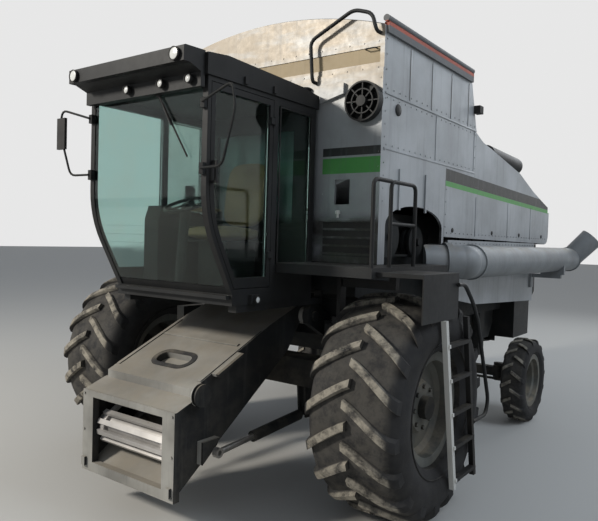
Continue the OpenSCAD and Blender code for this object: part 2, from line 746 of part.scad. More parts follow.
// Service platform: tread plate on a folded edge beam, with its landing over the tyre.
landing_x = 1940;
module platform_deck() {
  color(cab_black) from_axle() {
    block([cab_hw + 6, deck_front_y, deck_z - 8], [deck_x, -sheet_t, deck_z]);
    block([body_hw, -sheet_t, deck_z - 8], [deck_x, deck_rear_y, deck_z]);
    block([cab_hw + 6, deck_front_y, deck_z - 78], [deck_x, deck_front_y + 30, deck_z - 8]);
    block([deck_x - 30, deck_front_y + 30, deck_z - 78], [deck_x, deck_rear_y, deck_z - 8]);
    for (y = [-80, 340, 720]) block([body_hw, y, deck_z - 70], [deck_x - 30, y + 40, deck_z - 8]);
    block([deck_x, -520, deck_z - 60], [landing_x, 110, deck_z - 30]);
    block([landing_x - 10, -520, 1590], [landing_x, 110, deck_z - 60]);
    block([rail_x1, -90, 1780], [1500, -30, 1850]);
    block([1440, -90, 1850], [1500, -30, deck_z - 8]);
    block([rail_x1, -110, 1450], [rail_x1 + 40, -30, 1850]);
    block([rail_x1 - 40, -110, sep_z0], [rail_x1, -30, 1520]);
  }
}

// Pipe rails of the platform, the grab hoops by the ladder and the rail over the cab's roof.
pipe_d = 32;
module railings() {
  x = deck_x - 16;
  top = deck_z + rail_h;
  color(cab_black) from_axle() {
    pipe([[x, deck_front_y + 16, deck_z], [x, deck_front_y + 16, top], [x, -300, top]], pipe_d);
    pipe([[x, -300, deck_z], [x, -300, top], [x, 110, top], [x, 110, deck_z]], pipe_d);
    bar([x, -300, deck_z + 330], [x, 110, deck_z + 330], pipe_d - 4);
    hoop_x = landing_x + pipe_d / 2 + seat_gap;
    pipe([[hoop_x, 60, 1850], [hoop_x, 190, 1850], [hoop_x, 380, 1690], [hoop_x, 500, 1540],
      [hoop_x, 650, 1200], [hoop_x, 820, 820], [hoop_x, 770, 700],
      [hoop_x, ladder_y(684) + ladder_w + 45 + seat_gap, 700]], pipe_d);
    y = -sheet_t - pipe_d / 2 - seat_gap;
    pipe([[620, -sheet_t - seat_gap, 3530], [620, y - 40, 3530], [590, y - 40, 3880],
      [1020, y - 40, 4070], [1200, y - 40, 4010], [1240, y - 40, tank_top_z - 60],
      [1240, -14 - seat_gap, tank_top_z - 60]], pipe_d);
    pipe([[560, -sheet_t - seat_gap, 3480], [560, y - 40, 3480], [-500, y - 40, 3480],
      [-500, -sheet_t - seat_gap, 3480]], pipe_d);
  }
}

// Ladder outboard of the left front tyre: two rails that slope to the rear and tread steps.
ladder_x0 = landing_x - 15;
ladder_y0 = -172;
ladder_w = 420;
ladder_top_z = 1590 - seat_gap;
function ladder_y(z) = ladder_y0 + (ladder_top_z - z) * 0.2044;
module ladder() {
  color(galvanised) from_axle() {
    for (y = [0, ladder_w]) side_cut(ladder_x0, ladder_x0 + 40) polygon([
      [ladder_y(ladder_top_z) + y, ladder_top_z], [ladder_y(ladder_top_z) + y + 45, ladder_top_z],
      [ladder_y(240) + y + 45, 240], [ladder_y(240) + y, 240]
    ]);
    for (k = [0 : 4]) let (z = 300 + k * 270)
      block([ladder_x0, ladder_y(z) + 20, z], [ladder_x0 + 50, ladder_y(z) + ladder_w + 20, z + 28]);
  }
}

// Turret stub with its flange on the side, and the saddle that carries the stowed tube.
turret_dir = [cos(turret_angle), sin(turret_angle), 0];
elbow_x = body_hw + elbow_out;
elbow = [elbow_x, elbow_y, auger_z];
flange_r = auger_r + 24;
turret_len = 176;
module auger_mounts() {
  color(galvanised) from_axle() {
    difference() {
      union() {
        bar(elbow - 420 * turret_dir, elbow - turret_len * turret_dir, 2 * auger_r);
        bar(elbow - (turret_len + 30) * turret_dir, elbow - turret_len * turret_dir, 2 * flange_r);
      }
      block([900, 600, 1500], [body_hw - sheet_t, 1400, 2500]);
    }
    block([body_hw, 4230, 1740], [elbow_x + 150, 4290, 1790]);
    difference() {
      block([elbow_x - 110, 4230, 1790], [elbow_x + 190, 4290, auger_z - 60]);
      tube_run(auger_r + seat_gap, 4100, 4400);
    }
    side_cut(body_hw, body_hw + 30) polygon([[4200, 1600], [4320, 1600], [4320, 1850], [4200, 1850]]);
  }
}

// Straight run of the auger tube between two distances behind the front axle.
tube_end_x = elbow_x + 58;
function tube_point(y) = [elbow_x + (tube_end_x - elbow_x) * (y - elbow_y) / auger_len, y, auger_z];
module tube_run(r, y0, y1) {
  bar(tube_point(y0), tube_point(y1), 2 * r);
}

// Swinging auger: turret flange, elbow, tube and the spout that points up when stowed.
spout_dir = [0.60, 0.34, 0.72];
module auger_tube() {
  tip = tube_point(elbow_y + auger_len);
  color(galvanised) from_axle() {
    bar(elbow - (turret_len - seat_gap) * turret_dir, elbow - (turret_len - 30) * turret_dir,
      2 * flange_r);
    bar(elbow - (turret_len - seat_gap) * turret_dir, elbow, 2 * auger_r);
    translate(elbow) sphere(r = auger_r + 4);
    tube_run(auger_r, elbow_y, elbow_y + auger_len);
    tube_run(auger_r + 14, elbow_y + 150, elbow_y + 180);
    tube_run(auger_r + 14, elbow_y + auger_len - 60, elbow_y + auger_len - 30);
    translate(tip) sphere(r = auger_r + 4);
    difference() {
      translate(tip) rotate([0, acos(spout_dir[2] / norm(spout_dir)), atan2(spout_dir[1], spout_dir[0])])
        cylinder(h = 430, r1 = auger_r - 14, r2 = auger_r - 4);
      translate(tip) rotate([0, acos(spout_dir[2] / norm(spout_dir)), atan2(spout_dir[1], spout_dir[0])])
        translate([0, 0, 180]) cylinder(h = 251, r1 = auger_r - 26, r2 = auger_r - 16);
    }
  }
}

// Feeder house: hollow housing on trunnions, with the face frame that takes a header.
wall = 22;
feeder_slope = tan(24);
riser_y = -1300;
riser_z = 1040;
function top_z(y) = riser_z + (y - riser_y) * feeder_slope;
module feeder_house() {
  color(frame_grey) from_axle() {
    difference() {
      side_cut(-feeder_hw, feeder_hw) polygon([
        [face_y + 60, face_z0 + 20], [face_y + 60, face_z1 + 8], [riser_y, riser_z - 62],
        [riser_y, riser_z], [-420, top_z(-420)], [pivot_y + 10, pivot_z + 130],
        [pivot_y + 30, pivot_z + 60], [-160, 1190]
      ]);
      side_cut(-feeder_hw + wall, feeder_hw - wall) polygon([
        [face_y + 59, face_z0 + 60], [face_y + 59, face_z1 - 40], [riser_y, riser_z - 62 - 24],
        [-420, top_z(-420) - 40], [pivot_y + 12, pivot_z + 94], [pivot_y + 32, pivot_z + 50],
        [-170, 1215]
      ]);
      translate([0, -1010, top_z(-1010) - 60]) rotate([24, 0, 0]) {
        translate([-110, 0, 0]) cylinder(h = 120, r = 70);
        translate([110, 0, 0]) cylinder(h = 120, r = 70);
        translate([-110, -70, 0]) cube([220, 140, 120]);
      }
    }
    both_sides() {
      translate([0, pivot_y, pivot_z]) x_disc(feeder_hw, trunnion_x1 + 20, trunnion_r);
      translate([0, pivot_y, pivot_z]) x_disc(feeder_hw - wall, trunnion_x0 - 8, 80);
      side_cut(feeder_hw, feeder_hw + 60) polygon([
        [-1240, 470], [-1240, 640], [-1060, 640], [-1090, 590]
      ]);
    }
    translate([0, -950, top_z(-950)]) rotate([24, 0, 0])
      block([feeder_hw - 20, -170, -22], [feeder_hw + 70, 140, 0]);
    translate([0, -1270, 1000]) {
      x_disc(feeder_hw - 10, feeder_hw + 82, 25);
      for (p = [[32, 44, 84], [44, 70, 60], [70, 82, 84]]) x_disc(feeder_hw + p[0], feeder_hw + p[1], p[2]);
    }
    front_cut(face_y, face_y + 60) difference() {
      translate([-face_hw, face_z0]) square([2 * face_hw, face_z1 - face_z0]);
      translate([-face_hw + 128, face_z0 + 76]) square([2 * face_hw - 256, face_z1 - face_z0 - 126]);
    }
    side_cut(-face_hw, face_hw) polygon([
      [face_y + 20, face_z1], [face_y + 66, face_z1], [riser_y + 20, riser_z - 58], [riser_y, riser_z - 62]
    ]);
    both_sides() block([face_hw - 60, face_y - 24, face_z0 + 40], [face_hw - 20, face_y, face_z0 + 110]);
  }
}

// Front drum with its shaft and drive pulley, and the slatted chain that runs over it.
drum = [0, -1330, 610];
module feeder_chain() {
  color(rust_red) from_axle() {
    translate([0, drum[1], drum[2]]) {
      x_disc(-feeder_hw + 40, feeder_hw - 40, 95);
      x_disc(-feeder_hw + wall + seat_gap, feeder_hw - wall - seat_gap, 30);
    }
    for (x = [-360, 360]) side_cut(x - 22, x + 22) difference() {
      hull() {
        translate([drum[1], drum[2]]) circle(r = 125);
        translate([-330, 1240]) circle(r = 105);
      }
      hull() {
        translate([drum[1], drum[2]]) circle(r = 94);
        translate([-330, 1240]) circle(r = 86);
      }
    }
    for (a = [30 : 36 : 174]) translate([0, drum[1], drum[2]]) rotate([a, 0, 0])
      block([-398, -20, 120], [398, 20, 146]);
  }
}

// Lift cylinder on each side, from the axle's lugs to the feeder house.
lift_a = [-30, 640];
lift_b = [-1150, 560];
lift_x = 625;
lift_len = norm(lift_b - lift_a);
lift_tilt = atan2(lift_b[1] - lift_a[1], -(lift_b[0] - lift_a[0]));
// Sets a cylinder drawn along +Z from the lower pin.
module on_lift_axis(side) {
  from_axle() translate([side * lift_x, lift_a[0], lift_a[1]]) rotate([90 - lift_tilt, 0, 0]) children();
}
module lift_barrel(side) {
  on_lift_axis(side) {
    difference() {
      union() {
        translate([0, 0, 112]) cylinder(h = 618, r = 45);
        translate([0, 0, 20]) cylinder(h = 100, r = 20);
        rotate([0, 90, 0]) translate([0, 0, -23]) cylinder(h = 46, r = 38);
      }
      translate([0, 0, 135]) cylinder(h = 600, r = 24 + run_gap);
    }
    rotate([0, 90, 0]) translate([0, 0, -48]) cylinder(h = 96, r = 20);
  }
}
module lift_rod(side) {
  on_lift_axis(side) {
    translate([0, 0, 150]) cylinder(h = lift_len - 180, r = 24);
    translate([0, 0, lift_len]) rotate([0, 90, 0]) difference() {
      translate([0, 0, -22]) cylinder(h = 44, r = 38);
      translate([0, 0, -23]) cylinder(h = 46, r = 20);
    }
  }
}
module lift_barrel_left() { color(frame_grey) lift_barrel(1); }
module lift_barrel_right() { color(frame_grey) lift_barrel(-1); }
module lift_rod_left() { color(rim_silver) lift_rod(1); }
module lift_rod_right() { color(rim_silver) lift_rod(-1); }

// Windshield's side line, set back by off, from height z1 down to z0.
bend_z = 2520;
bend_r = 900;
bend_deg = 28;
function windshield_line(off, z0, z1) = concat(
  [[windshield_y + off, z1]],
  [for (k = [0 : 6]) let (t = bend_deg * k / 6)
    [windshield_y + bend_r - (bend_r - off) * cos(t), bend_z - (bend_r - off) * sin(t)]],
  [[windshield_y + bend_r - (bend_r - off) * cos(bend_deg)
    + (bend_z - (bend_r - off) * sin(bend_deg) - z0) * tan(bend_deg), z0]]);

// Side outline of the cab between the windshield line and y1.
module cab_outline(off, y1, z0, z1) {
  polygon(concat(windshield_line(off, z0, z1), [[y1, z0], [y1, z1]]));
}

// Cab floor pan with its front ledge, support beams and corner lamps' brackets.
module cab_floor() {
  ledge = windshield_line(0, cab_floor_z, roof_z);
  y0 = ledge[len(ledge) - 1][0];
  color(cab_black) from_axle() {
    block([-cab_hw, y0, cab_z], [cab_hw, cab_rear_y, cab_floor_z]);
    block([-cab_hw + 20, y0 - 46, cab_floor_z - 34], [cab_hw - 20, y0, cab_floor_z - 6]);
    both_sides() {
      block([trunnion_x0 + 20, y0 + 60, cab_z - 55], [trunnion_x0 + 100, 100, cab_z]);
      block([trunnion_x0 + 20, 100, cab_z - 55], [trunnion_x0 + 100, 119.7, cab_z + 60]);
      block([cab_hw, -900, cab_z + 4], [cab_hw + 30, -800, cab_z + 76]);
    }
  }
}

// Cab shell: both sides with door and window openings, rear wall and windshield header.
door_off = 39;
frame_w = 40;
window_z0 = 1950;
window_z1 = 3225;
sill_rear_y = -1060;
module cab_frame() {
  color(cab_black) from_axle() {
    for (side = [-1, 1]) mirror([side < 0 ? 1 : 0, 0, 0])
      side_cut(cab_hw - post_t, cab_hw) difference() {
        cab_outline(0, cab_rear_y, cab_floor_z, roof_z);
        if (side > 0) cab_outline(door_off - 5, door_post_y - 25, 1775, 3255);
        else cab_outline(door_off, door_post_y - 25, 1880, window_z1);
        translate([door_post_y + 35, window_z0])
          square([-door_post_y - 35 + cab_rear_y - 60, window_z1 - window_z0]);
      }
    difference() {
      block([-cab_hw + post_t, cab_rear_y - 40, cab_floor_z], [cab_hw - post_t, cab_rear_y, roof_z]);
      block([-460, cab_rear_y - 41, 2300], [460, cab_rear_y + 1, 3120]);
    }
    block([-cab_hw + post_t, windshield_y + 12, 3215], [cab_hw - post_t, windshield_y + 60, roof_z]);
    side_cut(-cab_hw + post_t, cab_hw - post_t) intersection() {
      cab_outline(12, cab_rear_y - 800, cab_floor_z, roof_z);
      translate([sill_rear_y - 190, cab_floor_z]) square([190, 60]);
    }
  }
}

// Roof with its visor over the windshield.
visor_y = -1605;
visor_hw = 655;
module cab_roof() {
  color(cab_black) from_axle() {
    side_cut(-cab_hw - 14, cab_hw + 14) polygon([
      [windshield_y - 20, roof_z], [windshield_y - 20, 3440], [-1200, 3462], [-300, 3432],
      [cab_rear_y + 20, 3400], [cab_rear_y + 20, roof_z]
    ]);
    side_cut(-visor_hw, visor_hw) polygon([
      [visor_y, 3338], [visor_y, 3440], [visor_y + 14, 3446], [windshield_y - 20, 3452],
      [windshield_y - 20, 3200], [windshield_y - 60, 3200], [windshield_y - 60, 3300], [visor_y + 60, 3338]
    ]);
    block([-cab_hw + post_t, windshield_y - 20, 3200], [cab_hw - post_t, windshield_y - 1, roof_z]);
  }
}

// Windshield: one sheet, upright above and bending back below.
module windshield() {
  color(glass_green) from_axle() side_cut(-cab_hw + post_t, cab_hw - post_t) polygon(concat(
    windshield_line(4, cab_floor_z + 61, 3214),
    [for (k = [8 : -1 : 0]) windshield_line(11, cab_floor_z + 61, 3214)[k]]));
}

// Door: frame round its glass, two hinge knuckles and the handle.
hinge_x = cab_hw + 14;
hinge_y = door_post_y - 26;
module cab_door() {
  y1 = door_post_y - 30;
  color(cab_black) from_axle() {
    side_cut(cab_hw - post_t, cab_hw) difference() {
      cab_outline(door_off, y1, 1780, 3250);
      cab_outline(door_off + frame_w, y1 - frame_w, 1860, 3205);
    }
    for (z = [2000, 3050]) {
      translate([hinge_x, hinge_y, z]) cylinder(h = 70, r = 11);
      block([cab_hw, hinge_y - 50, z + 10], [hinge_x - 4, hinge_y - 4, z + 60]);
      block([hinge_x - 10, hinge_y - 50, z + 10], [hinge_x + 6, hinge_y - 4, z + 60]);
    }
    for (z = [2540, 2680]) block([cab_hw, windshield_y + 48, z], [cab_hw + 36, windshield_y + 70, z + 20]);
    block([cab_hw + 30, windshield_y + 48, 2540], [cab_hw + 48, windshield_y + 70, 2700]);
  }
}

module door_glass() {
  color(glass_green) from_axle() side_cut(cab_hw - 30, cab_hw - 22)
    cab_outline(door_off + frame_w + seat_gap, door_post_y - 30 - frame_w - seat_gap,
      1860 + seat_gap, 3205 - seat_gap);
}

// Fixed panes: right side, both rear quarters and the rear window.
module cab_side_glass() {
  color(glass_green) from_axle() {
    side_cut(-cab_hw + 22, -cab_hw + 30)
      cab_outline(door_off + seat_gap, door_post_y - 25 - seat_gap, 1880 + seat_gap, window_z1 - seat_gap);
    both_sides() side_cut(cab_hw - 30, cab_hw - 22)
      translate([door_post_y + 35 + seat_gap, window_z0 + seat_gap])
      square([-door_post_y - 35 + cab_rear_y - 60 - 2 * seat_gap, window_z1 - window_z0 - 2 * seat_gap]);
    block([-460 + seat_gap, cab_rear_y - 24, 2300 + seat_gap],
      [460 - seat_gap, cab_rear_y - 16, 3120 - seat_gap]);
  }
}

// Operator's seat: pedestal, cushion, backrest and arm rest.
module seat() {
  color(seat_tan) from_axle() {
    block([-170, -620, cab_floor_z], [170, -260, 2130]);
    block([-250, -760, 2130], [250, -230, 2260]);
    side_cut(-240, 240) polygon([[-330, 2260], [-230, 2260], [-130, 2860], [-210, 2880]]);
    block([-330, -640, 2380], [-252, -240, 2430]);
    block([-252, -300, 2200], [-250, -240, 2430]);
  }
}

// Steering column with its wheel, and the control console on the right.
module steering_column() {
  color(cab_black) from_axle() {
    bar([0, -1000, cab_floor_z + 12], [0, -940, 2400], 80);
    block([-75, sill_rear_y + seat_gap, cab_floor_z + seat_gap], [75, -925, cab_floor_z + 14]);
    translate([0, -936, 2420]) rotate([22, 0, 0]) {
      rotate_extrude($fn = 48) translate([180, 0]) circle(r = 14);
      for (k = [0 : 2]) rotate(k * 120) translate([0, -10, -6]) cube([176, 20, 12]);
      translate([0, 0, -50]) cylinder(h = 60, r = 34);
    }
    block([-560, -900, cab_floor_z], [-380, -240, 2300]);
    side_cut(-560, -380) polygon([[-900, 2300], [-860, 2420], [-420, 2380], [-240, 2300]]);
  }
}

// Head lamps in the visor, small lamps under it, corner lamps and tank lamps.
module work_lamps() {
  color(rim_silver) from_axle() {
    both_sides() {
      translate([575, visor_y - seat_gap, 3388]) rotate([90, 0, 0]) cylinder(h = 24, r = 47);
      translate([cab_hw + 30 + seat_gap, -850, cab_z + 40])
        scale([1, 1.5, 1]) rotate([0, 90, 0]) cylinder(h = 26, r = 30);
      for (y = [-1030, -690]) block([cab_hw + 14 + seat_gap, y, 3300], [cab_hw + 34, y + 34, 3352]);
    }
    for (x = [-110, 270, 560]) translate([x, windshield_y - 60 - seat_gap, 3256])
      rotate([90, 0, 0]) cylinder(h = 40, r = 34);
    lamp_z = tank_z + ext_h * 170 / 535;
    block([body_hw + seat_gap, tank_rear_y - 100, lamp_z], [body_hw + 70, tank_rear_y + 10, lamp_z + 80]);
  }
}

// Mirror arms on the cab's front corners; the right one has lost its mirror plate.
module mirror_arms() {
  color(frame_grey) from_axle() {
    both_sides() {
      y = windshield_y - 16;
      block([cab_hw - 46, y - 14, 2600], [cab_hw - 6, y + 16 - seat_gap, 2680]);
      block([cab_hw - 46, y - 14, 3060], [cab_hw - 6, y + 16 - seat_gap, 3130]);
      pipe([[cab_hw - 20, y - 20, 3100], [cab_hw + 300, y - 60, 3190], [cab_hw + 330, y - 60, 3010],
        [cab_hw + 200, y - 40, 2640], [cab_hw - 20, y - 20, 2640]], 18);
    }
    block([-cab_hw - 350, windshield_y - 92, 2860], [-cab_hw - 240, windshield_y - 66, 3120]);
  }
}

main_frame();
front_axle();
tyre_front_left();
tyre_front_right();
rim_front_left();
rim_front_right();
rear_axle_beam();
knuckle_left();
knuckle_right();
tie_rod();
tyre_rear_left();
tyre_rear_right();
rim_rear_left();
rim_rear_right();
separator_housing();
cleaning_shoe();
engine_block();
grain_tank();
tank_extension();
tank_cover();
tank_rails();
front_wall();
front_screen();
side_shield_left();
side_shield_right();
rear_hood();
discharge_hood();
muffler();
spreader_left();
spreader_right();
rotary_screen();
drive_pulleys();
platform_deck();
railings();
ladder();
auger_mounts();
auger_tube();
feeder_house();
feeder_chain();
lift_barrel_left();
lift_barrel_right();
lift_rod_left();
lift_rod_right();
cab_floor();
cab_frame();
cab_roof();
windshield();
cab_door();
door_glass();
cab_side_glass();
seat();
steering_column();
work_lamps();
mirror_arms();
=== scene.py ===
"""Looks of the combine harvester: finishes, fine details, camera and studio light.

Everything is in metres in the part's frame: +X is the machine's left, +Y its rear, +Z up.
"""
import logging
import math
from dataclasses import dataclass, field
from enum import Enum
from typing import Callable, Optional, Sequence

import bmesh
import bpy
from mathutils import Matrix, Vector

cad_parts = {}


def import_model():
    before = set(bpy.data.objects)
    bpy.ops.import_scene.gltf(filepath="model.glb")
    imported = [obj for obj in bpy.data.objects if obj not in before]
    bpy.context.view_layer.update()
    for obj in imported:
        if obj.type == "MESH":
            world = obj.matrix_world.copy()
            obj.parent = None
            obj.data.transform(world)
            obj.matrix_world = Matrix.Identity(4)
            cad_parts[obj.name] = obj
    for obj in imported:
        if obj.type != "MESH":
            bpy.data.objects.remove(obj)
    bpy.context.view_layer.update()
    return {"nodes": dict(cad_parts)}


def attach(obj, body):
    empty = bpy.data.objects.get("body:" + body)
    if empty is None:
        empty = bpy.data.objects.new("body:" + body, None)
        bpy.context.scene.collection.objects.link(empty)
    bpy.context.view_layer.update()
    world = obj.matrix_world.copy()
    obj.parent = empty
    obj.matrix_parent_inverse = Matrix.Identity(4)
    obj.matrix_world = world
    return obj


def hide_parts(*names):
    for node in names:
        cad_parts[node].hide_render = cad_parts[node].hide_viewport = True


LOG = logging.getLogger("harvester")
Colour = tuple[float, float, float]
Point = tuple[float, float, float]
Span = tuple[float, float, float, float]
Outline = Sequence[tuple[float, float]]

AXLE_Y = -1.872          # the front axle's place along Y in the part's frame
WHEELBASE = 3.362        # from the front axle to the rear one
FRONT_RADIUS = 0.876     # of a front wheel, and the height of its axis
REAR_RADIUS = 0.51       # the same of a rear wheel
CLEAR = 0.0004           # gap under what lies on a sheet
BEVEL_FROM = 50.0        # least angle in degrees of an edge that is rounded


# ---------------------------------------------------------------- shader maths
def operator(operation: str, swapped: bool = False) -> Callable[["Num", object], "Num"]:
    """Makes a Python operator that adds one Math node; swapped puts the other operand first."""
    def apply(num: "Num", other: object) -> "Num":
        """Adds the node."""
        return num.combine(operation, other, num) if swapped else num.combine(operation, num, other)

    return apply


class Num:
    """A number on a shader socket; Python operators on it add Math nodes."""

    def __init__(self, graph: "Graph", socket: bpy.types.NodeSocket) -> None:
        """Keeps the socket and the graph it lives in."""
        self.graph = graph
        self.socket = socket

    def combine(self, operation: str, first: object, second: object = None, clamp: bool = False) -> "Num":
        """Adds one Math node.

        Args:
            operation: the Math node's operation.
            first: first operand, a Num or a plain number.
            second: second operand, where the operation takes one.
            clamp: keeps the result between 0 and 1.
        Returns:
            The result as a Num.
        """
        values = {0: first} if second is None else {0: first, 1: second}
        settings = {"operation": operation, "use_clamp": clamp}
        return Num(self.graph, self.graph.out("ShaderNodeMath", settings, values))

    __add__ = __radd__ = operator("ADD")
    __mul__ = __rmul__ = operator("MULTIPLY")
    __sub__ = operator("SUBTRACT")
    __rsub__ = operator("SUBTRACT", swapped=True)
    __pow__ = operator("POWER")

    def clamped(self) -> "Num":
        """The value kept between 0 and 1."""
        return self.combine("ADD", self, 0.0, clamp=True)

    def larger(self, other: object) -> "Num":
        """The larger of the two values."""
        return self.combine("MAXIMUM", self, other)

    def size(self) -> "Num":
        """The value without its sign."""
        return self.combine("ABSOLUTE", self)

    def ramp(self, low: float, high: float) -> "Num":
        """Goes smoothly from 0 at low to 1 at high."""
        settings = {"interpolation_type": "SMOOTHSTEP", "clamp": True}
        values = {"Value": self, "From Min": low, "From Max": high}
        return Num(self.graph, self.graph.out("ShaderNodeMapRange", settings, values))

    def within(self, low: float, high: float, edge: float) -> "Num":
        """Is 1 between low and high, with a soft edge above each of them."""
        return self.ramp(low, low + edge) * (1 - self.ramp(high, high + edge))


class Tree:
    """A node tree with one method that makes its nodes."""

    def __init__(self, tree: bpy.types.NodeTree) -> None:
        """Keeps an empty node tree."""
        self.tree = tree
        self.tree.nodes.clear()

    def make(self, kind: str, settings: dict, inputs: dict) -> bpy.types.Node:
        """Adds a node.

        Args:
            kind: the node's type.
            settings: its properties, set first.
            inputs: values or links by socket name, identifier or number.
        Returns:
            The node.
        """
        node = self.tree.nodes.new(kind)
        for key, value in settings.items():
            setattr(node, key, value)
        for key, value in inputs.items():
            socket = node.inputs[key] if isinstance(key, int) else self._socket(node, key)
            if isinstance(value, Num):
                value = value.socket
            if isinstance(value, bpy.types.NodeSocket):
                self.tree.links.new(value, socket)
            else:
                socket.default_value = value
        return node

    def out(self, kind: str, settings: dict, inputs: dict, output: object = 0) -> bpy.types.NodeSocket:
        """Adds a node and gives one of its outputs, by number or name."""
        return self.make(kind, settings, inputs).outputs[output]

    @staticmethod
    def _socket(node: bpy.types.Node, key: str) -> bpy.types.NodeSocket:
        """Finds a node's input by its identifier, or else by its name."""
        for socket in node.inputs:
            if socket.identifier == key:
                return socket
        return node.inputs[key]


class Graph(Tree):
    """The node tree of one material, with short calls for the nodes that it uses."""

    def __init__(self, name: str) -> None:
        """Makes an empty material called name with its shader and output."""
        self.material = bpy.data.materials.new(name)
        self.material.use_nodes = True
        super().__init__(self.material.node_tree)
        self.output = self.make("ShaderNodeOutputMaterial", {}, {})
        self.coords = self.out("ShaderNodeTexCoord", {}, {}, "Object")

    def noise(self, scale: float, detail: float = 3.0, rough: float = 0.55,
              stretch: Optional[Point] = None) -> Num:
        """Noise on object coordinates, about 0.5 in the middle; stretch scales each axis first."""
        vector = self.coords
        if stretch is not None:
            vector = self.out("ShaderNodeVectorMath", {"operation": "MULTIPLY"}, {0: vector, 1: stretch})
        values = {"Vector": vector, "Scale": scale, "Detail": detail, "Roughness": rough}
        return Num(self, self.out("ShaderNodeTexNoise", {}, values))

    def axis(self, name: str) -> Num:
        """One object coordinate, X, Y or Z."""
        return Num(self, self.out("ShaderNodeSeparateXYZ", {}, {0: self.coords}, name))

    def facing(self, name: str) -> Num:
        """One part of the surface normal: Z is 1 on a top face."""
        normal = self.out("ShaderNodeNewGeometry", {}, {}, "Normal")
        return Num(self, self.out("ShaderNodeSeparateXYZ", {}, {0: normal}, name))

    def blend(self, factor: object, first: object, second: object) -> bpy.types.NodeSocket:
        """Mixes two colours by a factor."""
        node = self.make("ShaderNodeMix", {"data_type": "RGBA", "clamp_factor": True},
                         {"Factor_Float": factor, "A_Color": self._rgba(first),
                          "B_Color": self._rgba(second)})
        return next(out for out in node.outputs if out.identifier == "Result_Color")

    @staticmethod
    def _rgba(colour: object) -> object:
        """Adds the fourth value to a plain colour."""
        return (*colour, 1.0) if isinstance(colour, tuple) and len(colour) == 3 else colour

    def shader(self, colour: object, rough: object, metallic: float = 0.0, bump: Optional[Num] = None,
               depth: float = 0.001, **constant: object) -> bpy.types.Material:
        """Ends the graph in a Principled shader.

        Args:
            colour: base colour, a plain colour or a socket.
            rough: roughness, a number or a Num.
            metallic: metallic value.
            bump: height for a Bump node, if any.
            depth: the bump's depth in metres.
            constant: further sockets by name with underscores for spaces, set to plain values.
        Returns:
            The material.
        """
        inputs = {"Base Color": self._rgba(colour), "Roughness": rough, "Metallic": metallic}
        for key, value in constant.items():
            inputs[key.replace("_", " ")] = value
        if bump is not None:
            inputs["Normal"] = self.out("ShaderNodeBump", {}, {"Height": bump, "Distance": depth})
        surface = self.out("ShaderNodeBsdfPrincipled", {}, inputs)
        self.tree.links.new(surface, self.output.inputs["Surface"])
        return self.material


# ---------------------------------------------------------------- finishes
DUST: Colour = (0.30, 0.26, 0.20)
RUST: Colour = (0.16, 0.06, 0.03)


@dataclass(frozen=True)
class Finish:
    """A named finish with the CAD material slot that it belongs to; each is built once."""

    name: str
    colour: Colour
    slot: str

    def material(self) -> bpy.types.Material:
        """The finish's material, made on first use."""
        return bpy.data.materials.get(self.name) or self.build()

    def build(self) -> bpy.types.Material:
        """Makes the material; each kind of finish has its own way."""
        raise NotImplementedError(self.name)


@dataclass(frozen=True)
class Paint(Finish):
    """Weathered paint on sheet or castings."""

    rough: float = 0.6
    metallic: float = 0.0
    fade: float = 0.3       # how far large blotches darken or lighten the paint
    dust: float = 0.2       # cover of dust on top faces and low down
    streak: float = 0.2     # darkening by streaks that run down
    rust: float = 0.0       # share of rust spots
    grain: float = 0.0006   # depth of the fine bump in metres
    even: float = 0.0       # 0 for dust in patches, 1 for a closed coat
    shine: float = 0.5      # strength of the clear reflections

    def build(self) -> bpy.types.Material:
        """Makes the material."""
        g = Graph(self.name)
        blotch = g.noise(1.7, 4.0).ramp(0.3, 0.72)
        dark = tuple(c * (1 - self.fade) for c in self.colour)
        light = tuple(min(1.0, c * (1 + self.fade)) for c in self.colour)
        colour = self.marked(g, g.blend(blotch, dark, light))
        run = g.noise(1.0, 4.0, 0.6, stretch=(16.0, 16.0, 1.1)).ramp(0.5, 0.75)
        side = 1 - g.facing("Z").size()
        colour = g.blend(run * side * self.streak, colour, tuple(c * 0.35 for c in self.colour))
        spots = g.noise(9.0, 6.0, 0.68)
        rusty = spots.ramp(0.74 - 0.16 * self.rust, 0.78 - 0.14 * self.rust) * min(1.0, self.rust * 4)
        colour = g.blend(rusty, colour, RUST)
        top = g.facing("Z").ramp(0.35, 0.95)
        low = 1 - g.axis("Z").ramp(0.1, 1.9)
        patch = g.noise(5.0, 5.0, 0.62).ramp(0.36, 0.66) * (1 - self.even) + top * self.even
        cover = (patch * (top * 0.9 + low * 0.45 + 0.12) * self.dust).clamped()
        colour = g.blend(cover, colour, DUST)
        rough = (g.noise(22.0, 2.0) * 0.16 + (self.rough - 0.08) + cover * 0.35 + rusty * 0.3).clamped()
        bump = g.noise(160.0, 2.0) * 0.6 + spots * 0.6
        return g.shader(colour, rough, self.metallic, bump, self.grain, Specular_IOR_Level=self.shine)

    def marked(self, g: Graph, colour: bpy.types.NodeSocket) -> bpy.types.NodeSocket:
        """Adds stripes to the paint; plain paint has none."""
        return colour


